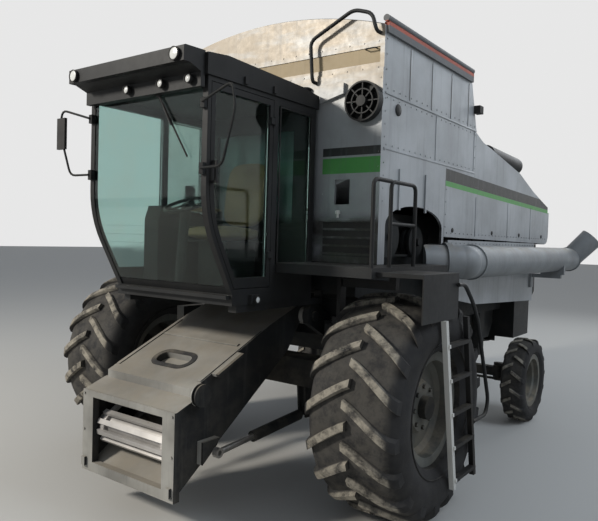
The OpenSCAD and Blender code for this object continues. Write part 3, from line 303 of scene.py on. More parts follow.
@dataclass(frozen=True)
class Livery(Paint):
    """Sheet paint with a black stripe over a green one, darker on the wall's foot and dust on its top."""

    black: Colour = (0.018, 0.02, 0.021)
    green: Colour = (0.07, 0.30, 0.07)
    foot_darkening: Colour = (0.03, 0.027, 0.022)
    tan: Colour = (0.29, 0.235, 0.165)
    black_span: Span = (2.785, 2.905, 2.88, 2.95)       # bottom and top on the sides, then on the front
    green_span: Span = (2.733, 2.785, 2.73, 2.862)
    fall: float = 0.024         # how far the side stripes fall in a metre to the rear
    datum_y: float = 1.2        # where their heights hold, behind the front axle
    side_y: float = 1.29        # where they begin, behind the front axle
    front_x: float = 0.715      # where the front stripes begin
    edge: float = 0.003         # softness of a stripe's edge

    def marked(self, g: Graph, colour: bpy.types.NodeSocket) -> bpy.types.NodeSocket:
        """Adds the stripes, then darkens the front low down and adds dust high on it."""
        z, y = g.axis("Z"), g.axis("Y") - AXLE_Y
        ahead = (g.facing("Y") * -1.0).ramp(0.6, 0.7)
        side = g.axis("X").size().ramp(1.2, 1.21) * g.facing("X").size().ramp(0.6, 0.7)
        side = side * y.ramp(self.side_y, self.side_y + 0.005)
        front = ahead * g.axis("X").ramp(self.front_x, self.front_x + 0.005) * (1 - y.ramp(0.05, 0.06))
        along = z + (y - self.datum_y) * self.fall
        for paint, span in ((self.green, self.green_span), (self.black, self.black_span)):
            strip = along.within(*span[:2], self.edge) * side
            colour = g.blend(strip + z.within(*span[2:], self.edge) * front, colour, paint)
        # darker in patches towards the foot of forward faces, below 2.3 to 2.42 m
        wall = ahead * (1 - z.ramp(2.3, 2.42)) * g.noise(3.0, 4.0).ramp(0.2, 0.5)
        colour = g.blend(wall * 0.95, colour, self.foot_darkening)
        smear = g.noise(1.0, 5.0, 0.6, stretch=(2.0, 2.0, 9.0)).ramp(0.34, 0.6)
        return g.blend(ahead * z.ramp(3.2, 3.6) * (0.35 + smear * 0.5), colour, self.tan)


@dataclass(frozen=True)
class Ladder(Paint):
    """Ladder paint, lighter on the front rail."""

    bright: Colour = (0.66, 0.65, 0.61)
    top_z: float = 1.59         # height from which the ladder's lean is measured
    lean: float = 0.2044        # how far it leans back in a metre down

    def marked(self, g: Graph, colour: bpy.types.NodeSocket) -> bpy.types.NodeSocket:
        """Lightens the front rail, which leans back going down."""
        place = g.axis("Y") - AXLE_Y - (self.top_z - g.axis("Z")) * self.lean
        return g.blend(1 - place.ramp(-0.125, -0.12), colour, self.bright)


@dataclass(frozen=True)
class RollRail(Paint):
    """Side rails of the tank: red along the top edge only, grey skirt and roll tube."""

    grey: Colour = (0.11, 0.115, 0.12)
    skirt_z: float = 3.918      # top of the skirt
    tube_z: float = 3.953       # underside of the tube

    def marked(self, g: Graph, colour: bpy.types.NodeSocket) -> bpy.types.NodeSocket:
        """Keeps the paint between the skirt and the tube."""
        return g.blend(1 - g.axis("Z").within(self.skirt_z, self.tube_z, 0.004), colour, self.grey)


@dataclass(frozen=True)
class Housing(Paint):
    """Paint of the feeder house, with painted shade on its flanks."""

    # colour of the painted shade on the flanks
    flank_shade: Colour = (0.018, 0.019, 0.02)
    half: float = 0.54          # half the width between the flanks

    def marked(self, g: Graph, colour: bpy.types.NodeSocket) -> bpy.types.NodeSocket:
        """Paints shade, near black, on what faces sideways or lies outside the flanks."""
        outside = g.axis("X").size().ramp(self.half, self.half + 0.005)
        # painted shade: faces that look sideways, and all outside the flanks
        side = g.facing("X").size().ramp(0.3, 0.6).larger(outside)
        return g.blend(side, colour, self.flank_shade)


@dataclass(frozen=True)
class Rubber(Finish):
    """Tyre rubber with pale dried mud mostly on the lugs; the pale lugs are partly painted light, and the
    dark grooves and sidewalls are painted shade.
    """

    # pale colour on the lugs: dried mud, and partly painted light
    mud_and_lug_light: Colour = (0.40, 0.365, 0.30)
    cover: float = 0.85
    axle: tuple[float, float] = (AXLE_Y, FRONT_RADIUS)      # the wheel's axis, as (y, z)
    base: float = 0.83                                      # radius between the lugs

    def build(self) -> bpy.types.Material:
        """Makes the material."""
        g = Graph(self.name)
        patch = g.noise(11.0, 6.0, 0.6)
        fine = g.noise(60.0, 4.0, 0.6)
        # painted shade on the sidewalls: faces that look sideways get less of the pale colour
        wall = g.facing("X").size().ramp(0.35, 0.8)
        reach = ((g.axis("Y") - self.axle[0]) ** 2.0 + (g.axis("Z") - self.axle[1]) ** 2.0) ** 0.5
        # painted light and shade: the pale colour sits on the lugs, and the grooves between them stay dark
        lug = reach.ramp(self.base + 0.004, self.base + 0.02) * 0.85 + 0.15
        mud_and_lug_light = (patch * 0.75 + fine * 0.25).ramp(0.3, 0.62) * (1 - wall * 0.8) * lug * self.cover
        colour = g.blend(g.noise(3.0).ramp(0.3, 0.7), self.colour, tuple(c * 1.7 for c in self.colour))
        colour = g.blend(mud_and_lug_light, colour, self.mud_and_lug_light)
        rough = (fine * 0.2 + 0.66 + mud_and_lug_light * 0.15).clamped()
        return g.shader(colour, rough, 0.0, fine * 0.4 + mud_and_lug_light, 0.003, Specular_IOR_Level=0.15)


@dataclass(frozen=True)
class Glass(Finish):
    """Tinted glass, a little dusty."""

    dust: float = 0.1

    def build(self) -> bpy.types.Material:
        """Makes the material."""
        g = Graph(self.name)
        film = g.noise(3.0, 5.0, 0.65).ramp(0.42, 0.75) * self.dust
        colour = g.blend(film, self.colour, (0.62, 0.60, 0.52))
        return g.shader(colour, (film * 0.5 + 0.03).clamped(), 0.0, Transmission_Weight=1.0, IOR=1.3)


@dataclass(frozen=True)
class Cloth(Finish):
    """Woven cloth."""

    scale: float = 700.0
    depth: float = 0.0006

    def build(self) -> bpy.types.Material:
        """Makes the material."""
        g = Graph(self.name)
        weave = g.noise(self.scale, 2.0)
        stain = g.noise(4.0, 5.0, 0.6).ramp(0.45, 0.75)
        colour = g.blend(stain * 0.5, self.colour, tuple(c * 0.55 for c in self.colour))
        colour = g.blend(weave.ramp(0.35, 0.7) * 0.3, colour, tuple(c * 0.6 for c in self.colour))
        return g.shader(colour, 0.92, 0.0, weave, self.depth)


@dataclass(frozen=True)
class Steel(Finish):
    """Bare steel, bright or worn."""

    rough: float = 0.3

    def build(self) -> bpy.types.Material:
        """Makes the material."""
        g = Graph(self.name)
        wear = g.noise(14.0, 5.0, 0.6)
        colour = g.blend(wear.ramp(0.55, 0.72) * 0.6, self.colour, (0.17, 0.10, 0.06))
        return g.shader(colour, (wear * 0.35 + self.rough - 0.1).clamped(), 1.0, wear, 0.0004)


SILVER = Livery("silver_sheet_paint", (0.35, 0.37, 0.385), "silver_sheet", rough=0.45, metallic=0.2,
                fade=0.16, dust=0.35, streak=0.35, rust=0.12)
BLACK = Paint("black_enamel", (0.017, 0.018, 0.019), "black_paint", rough=0.5, dust=0.1, rust=0.08,
              shine=0.2)
GREY = Paint("frame_grey", (0.022, 0.024, 0.025), "frame_paint", streak=0.3, rust=0.35, shine=0.12)
# the feeder's paint, with painted shade on its flanks
FEEDER = Housing("feeder_dusty_with_flank_shade", (0.28, 0.275, 0.255), "frame_paint", rough=0.55, fade=0.35, dust=0.5,
                 streak=0.3, rust=0.3, even=0.6, shine=0.25)
CHAIN = Paint("chain_slats", (0.52, 0.50, 0.48), "rail_red", rough=0.4, metallic=0.3, rust=0.35)
CASTING = Paint("axle_casting", (0.03, 0.03, 0.029), "axle_iron", rough=0.65, dust=0.4, rust=0.4,
                grain=0.0015, shine=0.15)
RIM = Paint("rim_paint", (0.12, 0.125, 0.115), "rim", metallic=0.1, dust=0.8, rust=0.35, shine=0.3)
RED = RollRail("rail_red_paint", (0.34, 0.07, 0.04), "rail_red", rust=0.4)
LADDER = Ladder("ladder_paint", (0.02, 0.02, 0.02), "silver_sheet", rough=0.55, dust=0.12, rust=0.3,
                shine=0.15)
# darker copy of the silver sheet paint: the darkness is painted shade on the auger
AUGER = Paint("auger_paint_with_shade", (0.20, 0.215, 0.225), "silver_sheet", rough=0.5, metallic=0.15, fade=0.2,
              dust=0.5, rust=0.2)
TAN = Paint("strip_tan", (0.40, 0.31, 0.18), "silver_sheet", fade=0.12, rust=0.05)
# dark paint of trim and latches, also used as painted shade in the front wall's recesses
DARK = Paint("dark_trim_and_recess_shade", (0.02, 0.02, 0.02), "black_paint", rough=0.7, dust=0.3)
WHITE = Paint("white_knob", (0.7, 0.69, 0.66), "plastic", rough=0.4, fade=0.05, streak=0.0)
COVER = Cloth("tarpaulin", (0.50, 0.485, 0.45), "cover", scale=500.0)
SEAT = Cloth("seat_cloth", (0.26, 0.17, 0.09), "seat")
PLASTIC = Paint("black_plastic", (0.022, 0.022, 0.023), "plastic", fade=0.2, dust=0.25, streak=0.0,
                shine=0.2)
LAMP = Paint("lamp_lens", (0.74, 0.75, 0.73), "lamp", rough=0.2, fade=0.08, dust=0.15, streak=0.0)
CAB_GLASS = Glass("cab_glass", (0.56, 0.71, 0.68), "glass", dust=0.2)
# tyres with painted light on the lugs and painted shade in the grooves and on the sidewalls
TYRE = Rubber("tyre_rubber", (0.020, 0.020, 0.021), "tyre")
REAR_TYRE = Rubber("rear_tyre_rubber", (0.020, 0.020, 0.021), "tyre",
                   axle=(AXLE_Y + WHEELBASE, REAR_RADIUS), base=0.484)
BRIGHT = Steel("bright_steel", (0.55, 0.54, 0.52), "steel")
MIRROR = Steel("mirror_glass", (0.75, 0.77, 0.78), "glass", rough=0.12)
SCREEN = Paint("screen_black", (0.03, 0.03, 0.028), "rotor", fade=0.2, dust=0.5, streak=0.0, rust=0.1)

NODE_FINISH = {
    SILVER: ["grain_tank", "tank_extension", "front_wall", "side_shield_left", "side_shield_right",
             "rear_hood"],
    AUGER: ["auger_mounts", "auger_tube"],
    LADDER: ["ladder"],
    BLACK: ["platform_deck", "railings", "cab_floor", "cab_frame", "cab_roof", "cab_door", "front_screen",
            "muffler", "discharge_hood"],
    GREY: ["main_frame", "separator_housing", "cleaning_shoe", "lift_barrel_left", "lift_barrel_right",
           "drive_pulleys", "spreader_left", "spreader_right", "mirror_arms"],
    FEEDER: ["feeder_house"],
    CASTING: ["front_axle", "rear_axle_beam", "knuckle_left", "knuckle_right", "tie_rod", "engine_block"],
    RIM: ["rim_front_left", "rim_front_right", "rim_rear_left", "rim_rear_right"],
    TYRE: ["tyre_front_left", "tyre_front_right"], REAR_TYRE: ["tyre_rear_left", "tyre_rear_right"],
    RED: ["tank_rails"],
    CHAIN: ["feeder_chain"],
    SCREEN: ["rotary_screen"],
    CAB_GLASS: ["windshield", "door_glass", "cab_side_glass"],
    COVER: ["tank_cover"], SEAT: ["seat"], PLASTIC: ["steering_column"], LAMP: ["work_lamps"],
    BRIGHT: ["lift_rod_left", "lift_rod_right"],
}


# ---------------------------------------------------------------- meshes
class Side(Enum):
    """The two sides of the machine, as the sign of X."""

    LEFT = 1
    RIGHT = -1


class Shape:
    """A mesh drawn from the front axle at floor level, in metres."""

    def __init__(self, name: str) -> None:
        """Starts an empty mesh."""
        self.name = name
        self.bm = bmesh.new()

    def prism(self, outline: Outline, low: float, high: float, axis: str = "X") -> "Shape":
        """Extrudes an outline along an axis.

        Args:
            outline: points of (y, z) for X, (x, z) for Y or (x, y) for Z.
            low: start along the axis.
            high: end along the axis.
            axis: X, Y or Z.
        Returns:
            The shape.
        """
        place = {"X": lambda a, b, c: (c, a, b), "Y": lambda a, b, c: (a, c, b),
                 "Z": lambda a, b, c: (a, b, c)}[axis]
        ends = [[self.bm.verts.new(place(a, b, c)) for a, b in outline] for c in (low, high)]
        n = len(outline)
        self.bm.faces.new(ends[0])
        self.bm.faces.new(list(reversed(ends[1])))
        for k in range(n):
            self.bm.faces.new([ends[0][k], ends[1][k], ends[1][(k + 1) % n], ends[0][(k + 1) % n]])
        return self

    def box(self, low: Point, high: Point) -> "Shape":
        """Adds a cuboid between two corners."""
        return self.prism([(low[0], low[1]), (high[0], low[1]), (high[0], high[1]), (low[0], high[1])],
                          low[2], high[2], "Z")

    def rings(self, rings: Sequence[Sequence[Vector]], closed: bool = False) -> "Shape":
        """Skins rings of points; open skins get end caps."""
        made = [[self.bm.verts.new(p) for p in ring] for ring in rings]
        n = len(made[0])
        last = len(made) if closed else len(made) - 1
        for i in range(last):
            a, b = made[i], made[(i + 1) % len(made)]
            for k in range(n):
                self.bm.faces.new([a[k], a[(k + 1) % n], b[(k + 1) % n], b[k]])
        if not closed:
            self.bm.faces.new(list(reversed(made[0])))
            self.bm.faces.new(made[-1])
        return self

    def pipe(self, points: Sequence[Point], diameter: float, bend: float = 0.06, sides: int = 12) -> "Shape":
        """Sweeps a round pipe through points with rounded bends.

        Args:
            points: corners of the run.
            diameter: outer diameter.
            bend: how far before and after a corner the bend starts.
            sides: sides of the round.
        Returns:
            The shape.
        """
        corners = [Vector(p) for p in points]
        path = [corners[0]]
        for before, here, after in zip(corners, corners[1:], corners[2:]):
            a = here + (before - here).normalized() * min(bend, (before - here).length * 0.45)
            b = here + (after - here).normalized() * min(bend, (after - here).length * 0.45)
            path += [a.lerp(here, t).lerp(here.lerp(b, t), t) for t in (0.0, 0.25, 0.5, 0.75, 1.0)]
        path.append(corners[-1])
        ahead = (path[1] - path[0]).normalized()
        up = Vector((0, 0, 1)) if abs(ahead.z) < 0.9 else Vector((1, 0, 0))
        rings = []
        for k, p in enumerate(path):
            ahead = (path[min(k + 1, len(path) - 1)] - path[max(k - 1, 0)]).normalized()
            right = ahead.cross(up).normalized()
            up = right.cross(ahead)
            rings.append([p + (right * math.cos(t) + up * math.sin(t)) * diameter / 2
                          for t in (2 * math.pi * j / sides for j in range(sides))])
        return self.rings(rings)

    def lathe(self, profile: Outline, centre: Point, axis: Point, sides: int = 48) -> "Shape":
        """Turns a closed profile of (radius, distance along the axis) round an axis."""
        ahead = Vector(axis).normalized()
        up = Vector((0, 0, 1)) if abs(ahead.z) < 0.9 else Vector((0, 1, 0))
        right = ahead.cross(up).normalized()
        up = right.cross(ahead)
        turned = []
        for t in (2 * math.pi * j / sides for j in range(sides)):
            out = right * math.cos(t) + up * math.sin(t)
            turned.append([Vector(centre) + out * max(r, 1e-4) + ahead * d for r, d in profile])
        return self.rings(turned, closed=True)

    def grid(self, columns: int, rows: int, place: Callable[[float, float], Point]) -> "Shape":
        """Makes a sheet of columns by rows quads from a function of u and v between 0 and 1."""
        verts = [[self.bm.verts.new(place(i / columns, j / rows)) for i in range(columns + 1)]
                 for j in range(rows + 1)]
        for j in range(rows):
            for i in range(columns):
                self.bm.faces.new([verts[j][i], verts[j][i + 1], verts[j + 1][i + 1], verts[j + 1][i]])
        return self

    def pillow(self, low: Point, high: Point, crown: Point, power: float = 5.0, steps: int = 10) -> "Shape":
        """Adds a crowned cushion that fills a box, with corners drawn in.

        Args:
            low: lowest corner.
            high: highest corner.
            crown: how far each pair of faces bulges, in metres.
            power: how square the outline is.
            steps: faces along each edge of the starting cube.
        Returns:
            The shape.
        """
        centre, half = (Vector(low) + Vector(high)) / 2, (Vector(high) - Vector(low)) / 2
        start = set(self.bm.verts)
        bmesh.ops.create_cube(self.bm, size=2.0)
        made = [v for v in self.bm.verts if v not in start]
        edges = list({e for v in made for e in v.link_edges})
        bmesh.ops.subdivide_edges(self.bm, edges=edges, cuts=steps, use_grid_fill=True)
        for v in [v for v in self.bm.verts if v not in start]:
            u = v.co.copy()
            length = sum(abs(c) ** power for c in u) ** (1 / power)
            u = u / max(length, 1e-6)
            bulge = [crown[k] * (1 - u[(k + 1) % 3] ** 2) * (1 - u[(k + 2) % 3] ** 2) * u[k]
                     for k in range(3)]
            v.co = centre + Vector(tuple((half[k] - crown[k]) * u[k] + bulge[k] for k in range(3)))
        return self

    def turn(self, angle: float, centre: Point) -> "Shape":
        """Turns all that is drawn so far, in degrees, about a line along X through a point."""
        matrix = Matrix.Rotation(math.radians(angle), 3, "X")
        bmesh.ops.rotate(self.bm, verts=self.bm.verts, cent=centre, matrix=matrix)
        return self

    def mirrored(self) -> "Shape":
        """Adds the copy on the machine's other side."""
        drawn = self.bm.verts[:] + self.bm.edges[:] + self.bm.faces[:]
        made = bmesh.ops.duplicate(self.bm, geom=drawn)["geom"]
        verts = [g for g in made if isinstance(g, bmesh.types.BMVert)]
        faces = [g for g in made if isinstance(g, bmesh.types.BMFace)]
        for v in verts:
            v.co.x = -v.co.x
        bmesh.ops.reverse_faces(self.bm, faces=faces)
        return self

    def finish(self, finish: Finish, body: str, *stands_for: str, bevel: float = 0.0, smooth: float = 38.0,
               closed: bool = True) -> bpy.types.Object:
        """Ends the shape as a piece of the machine.

        Args:
            finish: its finish.
            body: the CAD body that it rides on.
            stands_for: CAD nodes that it takes the place of.
            bevel: width of rounded edges in metres.
            smooth: largest angle between smooth faces in degrees.
            closed: the mesh encloses a volume, so its normals are turned outward.
        Returns:
            The object.
        """
        bm = self.bm
        if bevel > 0:
            edges = [e for e in bm.edges
                     if len(e.link_faces) == 2 and e.calc_face_angle(0.0) > math.radians(BEVEL_FROM)]
            bmesh.ops.bevel(bm, geom=edges, offset=bevel, segments=2, profile=0.6, affect="EDGES",
                            clamp_overlap=True)
        if closed:
            bmesh.ops.recalc_face_normals(bm, faces=bm.faces)
        bmesh.ops.translate(bm, verts=bm.verts, vec=(0, AXLE_Y, 0))
        for face in bm.faces:
            face.smooth = True
        for edge in bm.edges:
            edge.smooth = len(edge.link_faces) == 2 and edge.calc_face_angle(0.0) < math.radians(smooth)
        mesh = bpy.data.meshes.new(self.name)
        bm.to_mesh(mesh)
        bm.free()
        return place_piece(self.name, mesh, finish, body, *stands_for)


def new_object(name: str, data: bpy.types.ID) -> bpy.types.Object:
    """Makes an object of its data and links it to the scene."""
    obj = bpy.data.objects.new(name, data)
    bpy.context.scene.collection.objects.link(obj)
    return obj


def set_finish(mesh: bpy.types.Mesh, finish: Finish) -> None:
    """Gives a mesh one finish in place of what it had."""
    mesh.materials.clear()
    mesh.materials.append(finish.material())


def place_piece(name: str, mesh: bpy.types.Mesh, finish: Finish, body: str,
                *stands_for: str) -> bpy.types.Object:
    """Links a mesh as a piece, with its finish, CAD body and the nodes it stands for."""
    set_finish(mesh, finish)
    obj = new_object(name, mesh)
    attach(obj, body)
    if stands_for:
        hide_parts(*stands_for)
    return obj


@dataclass
class Fasteners:
    """Bolt heads on one body, set by a Geometry Nodes tree from a list of points."""

    name: str
    body: str
    radius: float = 0.011
    height: float = 0.009
    seed: int = 7
    spots: list[tuple[Point, Point]] = field(default_factory=list)

    def row(self, start: Point, end: Point, pitch: float, axis: Point) -> "Fasteners":
        """Adds a row of bolts about pitch apart, whose heads face along axis."""
        a, b = Vector(start), Vector(end)
        count = max(1, round((b - a).length / pitch))
        self.spots += [(tuple(a.lerp(b, k / count)), axis) for k in range(count + 1)]
        return self

    def circle(self, centre: Point, radius: float, count: int, axis: Point) -> "Fasteners":
        """Adds a ring of bolts round an axis along X."""
        for k in range(count):
            t = 2 * math.pi * k / count
            out = Vector((0, math.sin(t), math.cos(t)))
            self.spots.append((tuple(Vector(centre) + out * radius), axis))
        return self

    def tree(self) -> bpy.types.NodeTree:
        """Makes the node tree: a hexagon head on each point, turned to its axis and at random."""
        group = bpy.data.node_groups.new(self.name, "GeometryNodeTree")
        for label, kind in (("Geometry", "NodeSocketGeometry"), ("Head radius", "NodeSocketFloat"),
                            ("Head height", "NodeSocketFloat"), ("Seed", "NodeSocketInt"),
                            ("Finish", "NodeSocketMaterial")):
            group.interface.new_socket(label, in_out="INPUT", socket_type=kind)
        group.interface.new_socket("Geometry", in_out="OUTPUT", socket_type="NodeSocketGeometry")
        t = Tree(group)
        given = t.make("NodeGroupInput", {}, {}).outputs
        head = t.out("GeometryNodeMeshCylinder", {},
                     {"Vertices": 6, "Radius": given["Head radius"], "Depth": given["Head height"]}, "Mesh")
        facing = t.out("GeometryNodeInputNamedAttribute", {"data_type": "FLOAT_VECTOR"}, {"Name": "axis"},
                       "Attribute")
        turn = t.out("FunctionNodeAlignRotationToVector", {"axis": "Z"}, {"Vector": facing})
        spin = t.out("FunctionNodeRandomValue", {"data_type": "FLOAT"},
                     {"Min_001": 0.0, "Max_001": math.tau, "Seed": given["Seed"]}, 1)
        about = t.out("FunctionNodeAxisAngleToRotation", {}, {"Axis": (0.0, 0.0, 1.0), "Angle": spin})
        both = t.out("FunctionNodeRotateRotation", {"rotation_space": "LOCAL"},
                     {"Rotation": turn, "Rotate By": about})
        set_on = t.out("GeometryNodeInstanceOnPoints", {},
                       {"Points": given["Geometry"], "Instance": head, "Rotation": both})
        real = t.out("GeometryNodeRealizeInstances", {}, {"Geometry": set_on})
        painted = t.out("GeometryNodeSetMaterial", {}, {"Geometry": real, "Material": given["Finish"]})
        t.make("NodeGroupOutput", {}, {"Geometry": painted})
        return group

    def build(self, finish: Finish) -> bpy.types.Object:
        """Bakes the heads to a plain mesh and places them as one piece."""
        mesh = bpy.data.meshes.new(self.name + "_points")
        mesh.from_pydata([(x, y + AXLE_Y, z) for (x, y, z), _ in self.spots], [], [])
        axes = mesh.attributes.new("axis", "FLOAT_VECTOR", "POINT")
        axes.data.foreach_set("vector", [c for _, axis in self.spots for c in axis])
        holder = new_object(self.name + "_points", mesh)
        group = self.tree()
        modifier = holder.modifiers.new("heads", "NODES")
        modifier.node_group = group
        values = {"Head radius": self.radius, "Head height": self.height, "Seed": self.seed,
                  "Finish": finish.material()}
        for item in group.interface.items_tree:
            if item.in_out == "INPUT" and item.name in values:
                modifier[item.identifier] = values[item.name]
        graph = bpy.context.evaluated_depsgraph_get()
        baked = bpy.data.meshes.new_from_object(holder.evaluated_get(graph), depsgraph=graph)
        holder.modifiers.remove(modifier)
        bpy.data.objects.remove(holder)
        baked.name = self.name
        return place_piece(self.name, baked, finish, self.body)


@dataclass
class Studio:
    """Camera, floor and lamps."""

    place: Point = (3.784, -4.481, 2.165)     # camera, measured from the front axle
    yaw: float = 36.452
    pitch: float = -1.981
    roll: float = 1.693
    lens: float = 36.0 * 619.48 / 598.0
    floor_size: float = 160.0
    sky: Span = (0.78, 0.87, 1.0, 1.0)        # colour of the soft light
    sky_power: float = 0.3

    def camera(self) -> None:
        """Makes the camera at the photograph's angle."""
        yaw, pitch, roll = (math.radians(a) for a in (self.yaw, self.pitch, self.roll))
        ahead = Vector((-math.sin(yaw) * math.cos(pitch), math.cos(yaw) * math.cos(pitch), math.sin(pitch)))
        right = ahead.cross(Vector((0, 0, 1))).normalized()
        up = right.cross(ahead)
        right_r = right * math.cos(roll) + up * math.sin(roll)
        up_r = up * math.cos(roll) - right * math.sin(roll)
        data = bpy.data.cameras.new("camera")
        data.lens = self.lens
        data.sensor_width = 36.0
        data.clip_end = 400.0
        cam = new_object("camera", data)
        turn = Matrix((right_r, up_r, -ahead)).transposed().to_4x4()
        x, y, z = self.place
        cam.matrix_world = Matrix.Translation((x, y + AXLE_Y, z)) @ turn
        bpy.context.scene.camera = cam

    def lamp(self, name: str, place: Point, target: Point, size: float, power: float,
             colour: Colour) -> None:
        """Adds one area lamp that looks at a target."""
        data = bpy.data.lights.new(name, "AREA")
        data.size = size
        data.energy = power
        data.color = colour
        turn = (Vector(target) - Vector(place)).to_track_quat("-Z", "Y").to_matrix().to_4x4()
        new_object(name, data).matrix_world = Matrix.Translation(place) @ turn

    def world(self) -> None:
        """Soft light all round, and a pale background for the camera, in glass and in reflections."""
        world = bpy.data.worlds.new("studio")
        bpy.context.scene.world = world
        world.use_nodes = True
        tree = Tree(world.node_tree)
        rays = tree.make("ShaderNodeLightPath", {}, {}).outputs
        pale = rays["Is Camera Ray"]
        for kind in ("Is Transmission Ray", "Is Glossy Ray"):
            pale = tree.out("ShaderNodeMath", {"operation": "MAXIMUM"}, {0: pale, 1: rays[kind]})
        soft = tree.out("ShaderNodeBackground", {}, {"Color": self.sky, "Strength": self.sky_power})
        plain = tree.out("ShaderNodeBackground", {}, {"Strength": 1.0})
        mix = tree.out("ShaderNodeMixShader", {}, {0: pale, 1: soft, 2: plain})
        tree.make("ShaderNodeOutputWorld", {}, {"Surface": mix})

    def floor(self) -> None:
        """Lays a plain pale floor."""
        mesh = bpy.data.meshes.new("floor")
        s = self.floor_size / 2
        mesh.from_pydata([(-s, -s, 0), (s, -s, 0), (s, s, 0), (-s, s, 0)], [], [(0, 1, 2, 3)])
        mesh.materials.append(Graph("floor").shader((0.55, 0.54, 0.51), 0.9))
        new_object("floor", mesh)

    def build(self) -> None:
        """Sets up the whole studio."""
        self.camera()
        self.world()
        self.floor()
        self.lamp("key", (-6.5, -12.5, 8.0), (0.2, 0.0, 2.0), 1.6, 1500.0, (1.0, 0.95, 0.87))
        self.lamp("fill", (9.0, 1.0, 10.0), (0.5, 1.0, 2.4), 6.0, 460.0, (0.80, 0.89, 1.0))
        self.lamp("rim", (2.0, 12.0, 8.0), (0.0, 0.0, 2.0), 6.0, 260.0, (0.9, 0.95, 1.0))
        bpy.context.scene.view_settings.view_transform = "Standard"


# ---------------------------------------------------------------- the machine's own details
@dataclass
class TankCover:
    """Tarpaulin stretched over the crowned tank, held along both side rails."""

    half_width: float = 1.266
    start: float = 0.003
    end: float = 1.866
    edge_z: float = 3.925
    rise: float = 0.2103
    wall_half: float = 1.286
    sag: float = 0.011
    bow_pitch: float = 0.45
    held: float = 0.06          # strip along each end where the cloth lies tight
    lift: float = 0.0075        # the cloth's middle above the crown

    def height(self, x: float, y: float) -> float:
        """Height of the cloth: the crown, less its sag between the bows, plus small wrinkles."""
        crown = self.edge_z + self.rise * (1 - (x / self.wall_half) ** 2)
        inside = min(1.0, (y - self.start) / self.held, (self.end - y) / self.held)
        span = abs(math.sin(math.pi * y / self.bow_pitch))
        across = 1 - (abs(x) / self.half_width) ** 6
        wrinkle = 0.0015 * math.sin(9 * x + 14 * y) + 0.001 * math.sin(31 * y - 17 * x * x)
        return crown + self.lift - inside * across * (self.sag * span * 0.6 + 0.002 - wrinkle)

    def build(self) -> None:
        def place(u: float, v: float) -> Point:
            """A point of the cloth."""
            x, y = (2 * u - 1) * self.half_width, self.start + v * (self.end - self.start)
            return x, y, self.height(x, y)

        sheet = Shape("tank_tarpaulin").grid(72, 56, place)
        cloth = sheet.finish(COVER, "body", "tank_cover", closed=False, smooth=60)


@dataclass
class DriverSeat:
    """Seat on a box pedestal, with cushion, leaning backrest and one armrest."""

    floor_z: float = 1.7353
    cushion_z: float = 2.13
    back_z: float = 2.262       # top of the cushion and foot of the backrest
    recline: float = -9.0       # of the backrest, in degrees

    def build(self) -> None:
        """Makes the seat's pieces."""
        base = Shape("seat_base").box((-0.17, -0.62, self.floor_z), (0.17, -0.26, self.cushion_z))
        base.box((-0.235, -0.72, self.cushion_z - 0.012), (0.235, -0.24, self.cushion_z + 0.004))
        base.box((-0.262, -0.31, 2.2), (-0.25, -0.25, 2.4))
        base.prism([(-0.212, 2.3), (-0.2, 2.3), (-0.135, 2.8), (-0.147, 2.8)], -0.2, 0.2)
        base.finish(PLASTIC, "body", "seat", bevel=0.006)
        cushion, back, armrest = Shape("seat_cushion"), Shape("seat_back"), Shape("seat_armrest")
        cushion.pillow((-0.25, -0.76, self.cushion_z), (0.25, -0.235, self.back_z), (0.01, 0.012, 0.02))
        back.pillow((-0.24, -0.305, self.back_z), (0.24, -0.2, 2.85), (0.01, 0.02, 0.02))
        back.turn(self.recline, (0, -0.25, self.back_z))
        armrest.pillow((-0.33, -0.64, 2.38), (-0.252, -0.24, 2.43), (0.004, 0.008, 0.008), steps=6)
        for pad in (cushion, back, armrest):
            pad.finish(SEAT, "body", "seat", smooth=70)


@dataclass
class Pipework:
    """Hand rails, the hoop beside the ladder, tank rails and mirror arms as smooth pipes, and the mirror."""

    diameter: float = 0.032
    rail_x: float = 1.544
    deck_z: float = 1.97
    top_z: float = 2.62
    hoop_x: float = 1.9563

    def build(self) -> None:
        """Makes the rails, the arms and the mirror."""
        x, z0, z1, d = self.rail_x, self.deck_z, self.top_z, self.diameter
        runs: list[list[Point]] = [
            [(x, -0.569, z0), (x, -0.569, z1), (x, -0.3, z1)],
            [(x, -0.3, z0), (x, -0.3, z1), (x, 0.11, z1), (x, 0.11, z0)],
            [(self.hoop_x, y, z) for y, z in ((0.06, 1.85), (0.19, 1.85), (0.38, 1.69), (0.5, 1.54),
                                              (0.65, 1.2), (0.82, 0.82), (0.77, 0.7), (0.479, 0.7))],
            [(0.62, -0.0253, 3.53), (0.62, -0.0813, 3.53), (0.59, -0.0813, 3.88), (1.02, -0.0813, 4.07),
             (1.2, -0.0813, 4.01), (1.24, -0.0813, 3.865), (1.24, -0.0143, 3.865)],
            [(0.56, -0.0253, 3.48), (0.56, -0.0813, 3.48), (-0.5, -0.0813, 3.48), (-0.5, -0.0253, 3.48)],
        ]
        rails = Shape("hand_rails")
        for run in runs:
            rails.pipe(run, d)
        rails.pipe([(x, -0.3, 2.3), (x, 0.11, 2.3)], d - 0.004)
        rails.finish(BLACK, "body", "railings")
        arms = Shape("mirror_arms_smooth")
        arms.pipe([(0.649, -1.42, 3.1), (0.969, -1.46, 3.19), (0.999, -1.46, 3.01), (0.869, -1.44, 2.64),
                   (0.649, -1.42, 2.64)], 0.018)
        for z0, z1 in ((2.6, 2.68), (3.06, 3.13)):
            arms.box((0.623, -1.414, z0), (0.663, -1.3843, z1))
        arms.mirrored().finish(GREY, "body", "mirror_arms")
        Shape("mirror_shell").box((-1.019, -1.476, 2.86), (-0.909, -1.4525, 3.12)).finish(
            PLASTIC, "body", "mirror_arms", bevel=0.008)
        Shape("mirror_glass").box((-1.012, -1.4524, 2.867), (-0.916, -1.45, 3.113)).finish(
            MIRROR, "body", "mirror_arms")


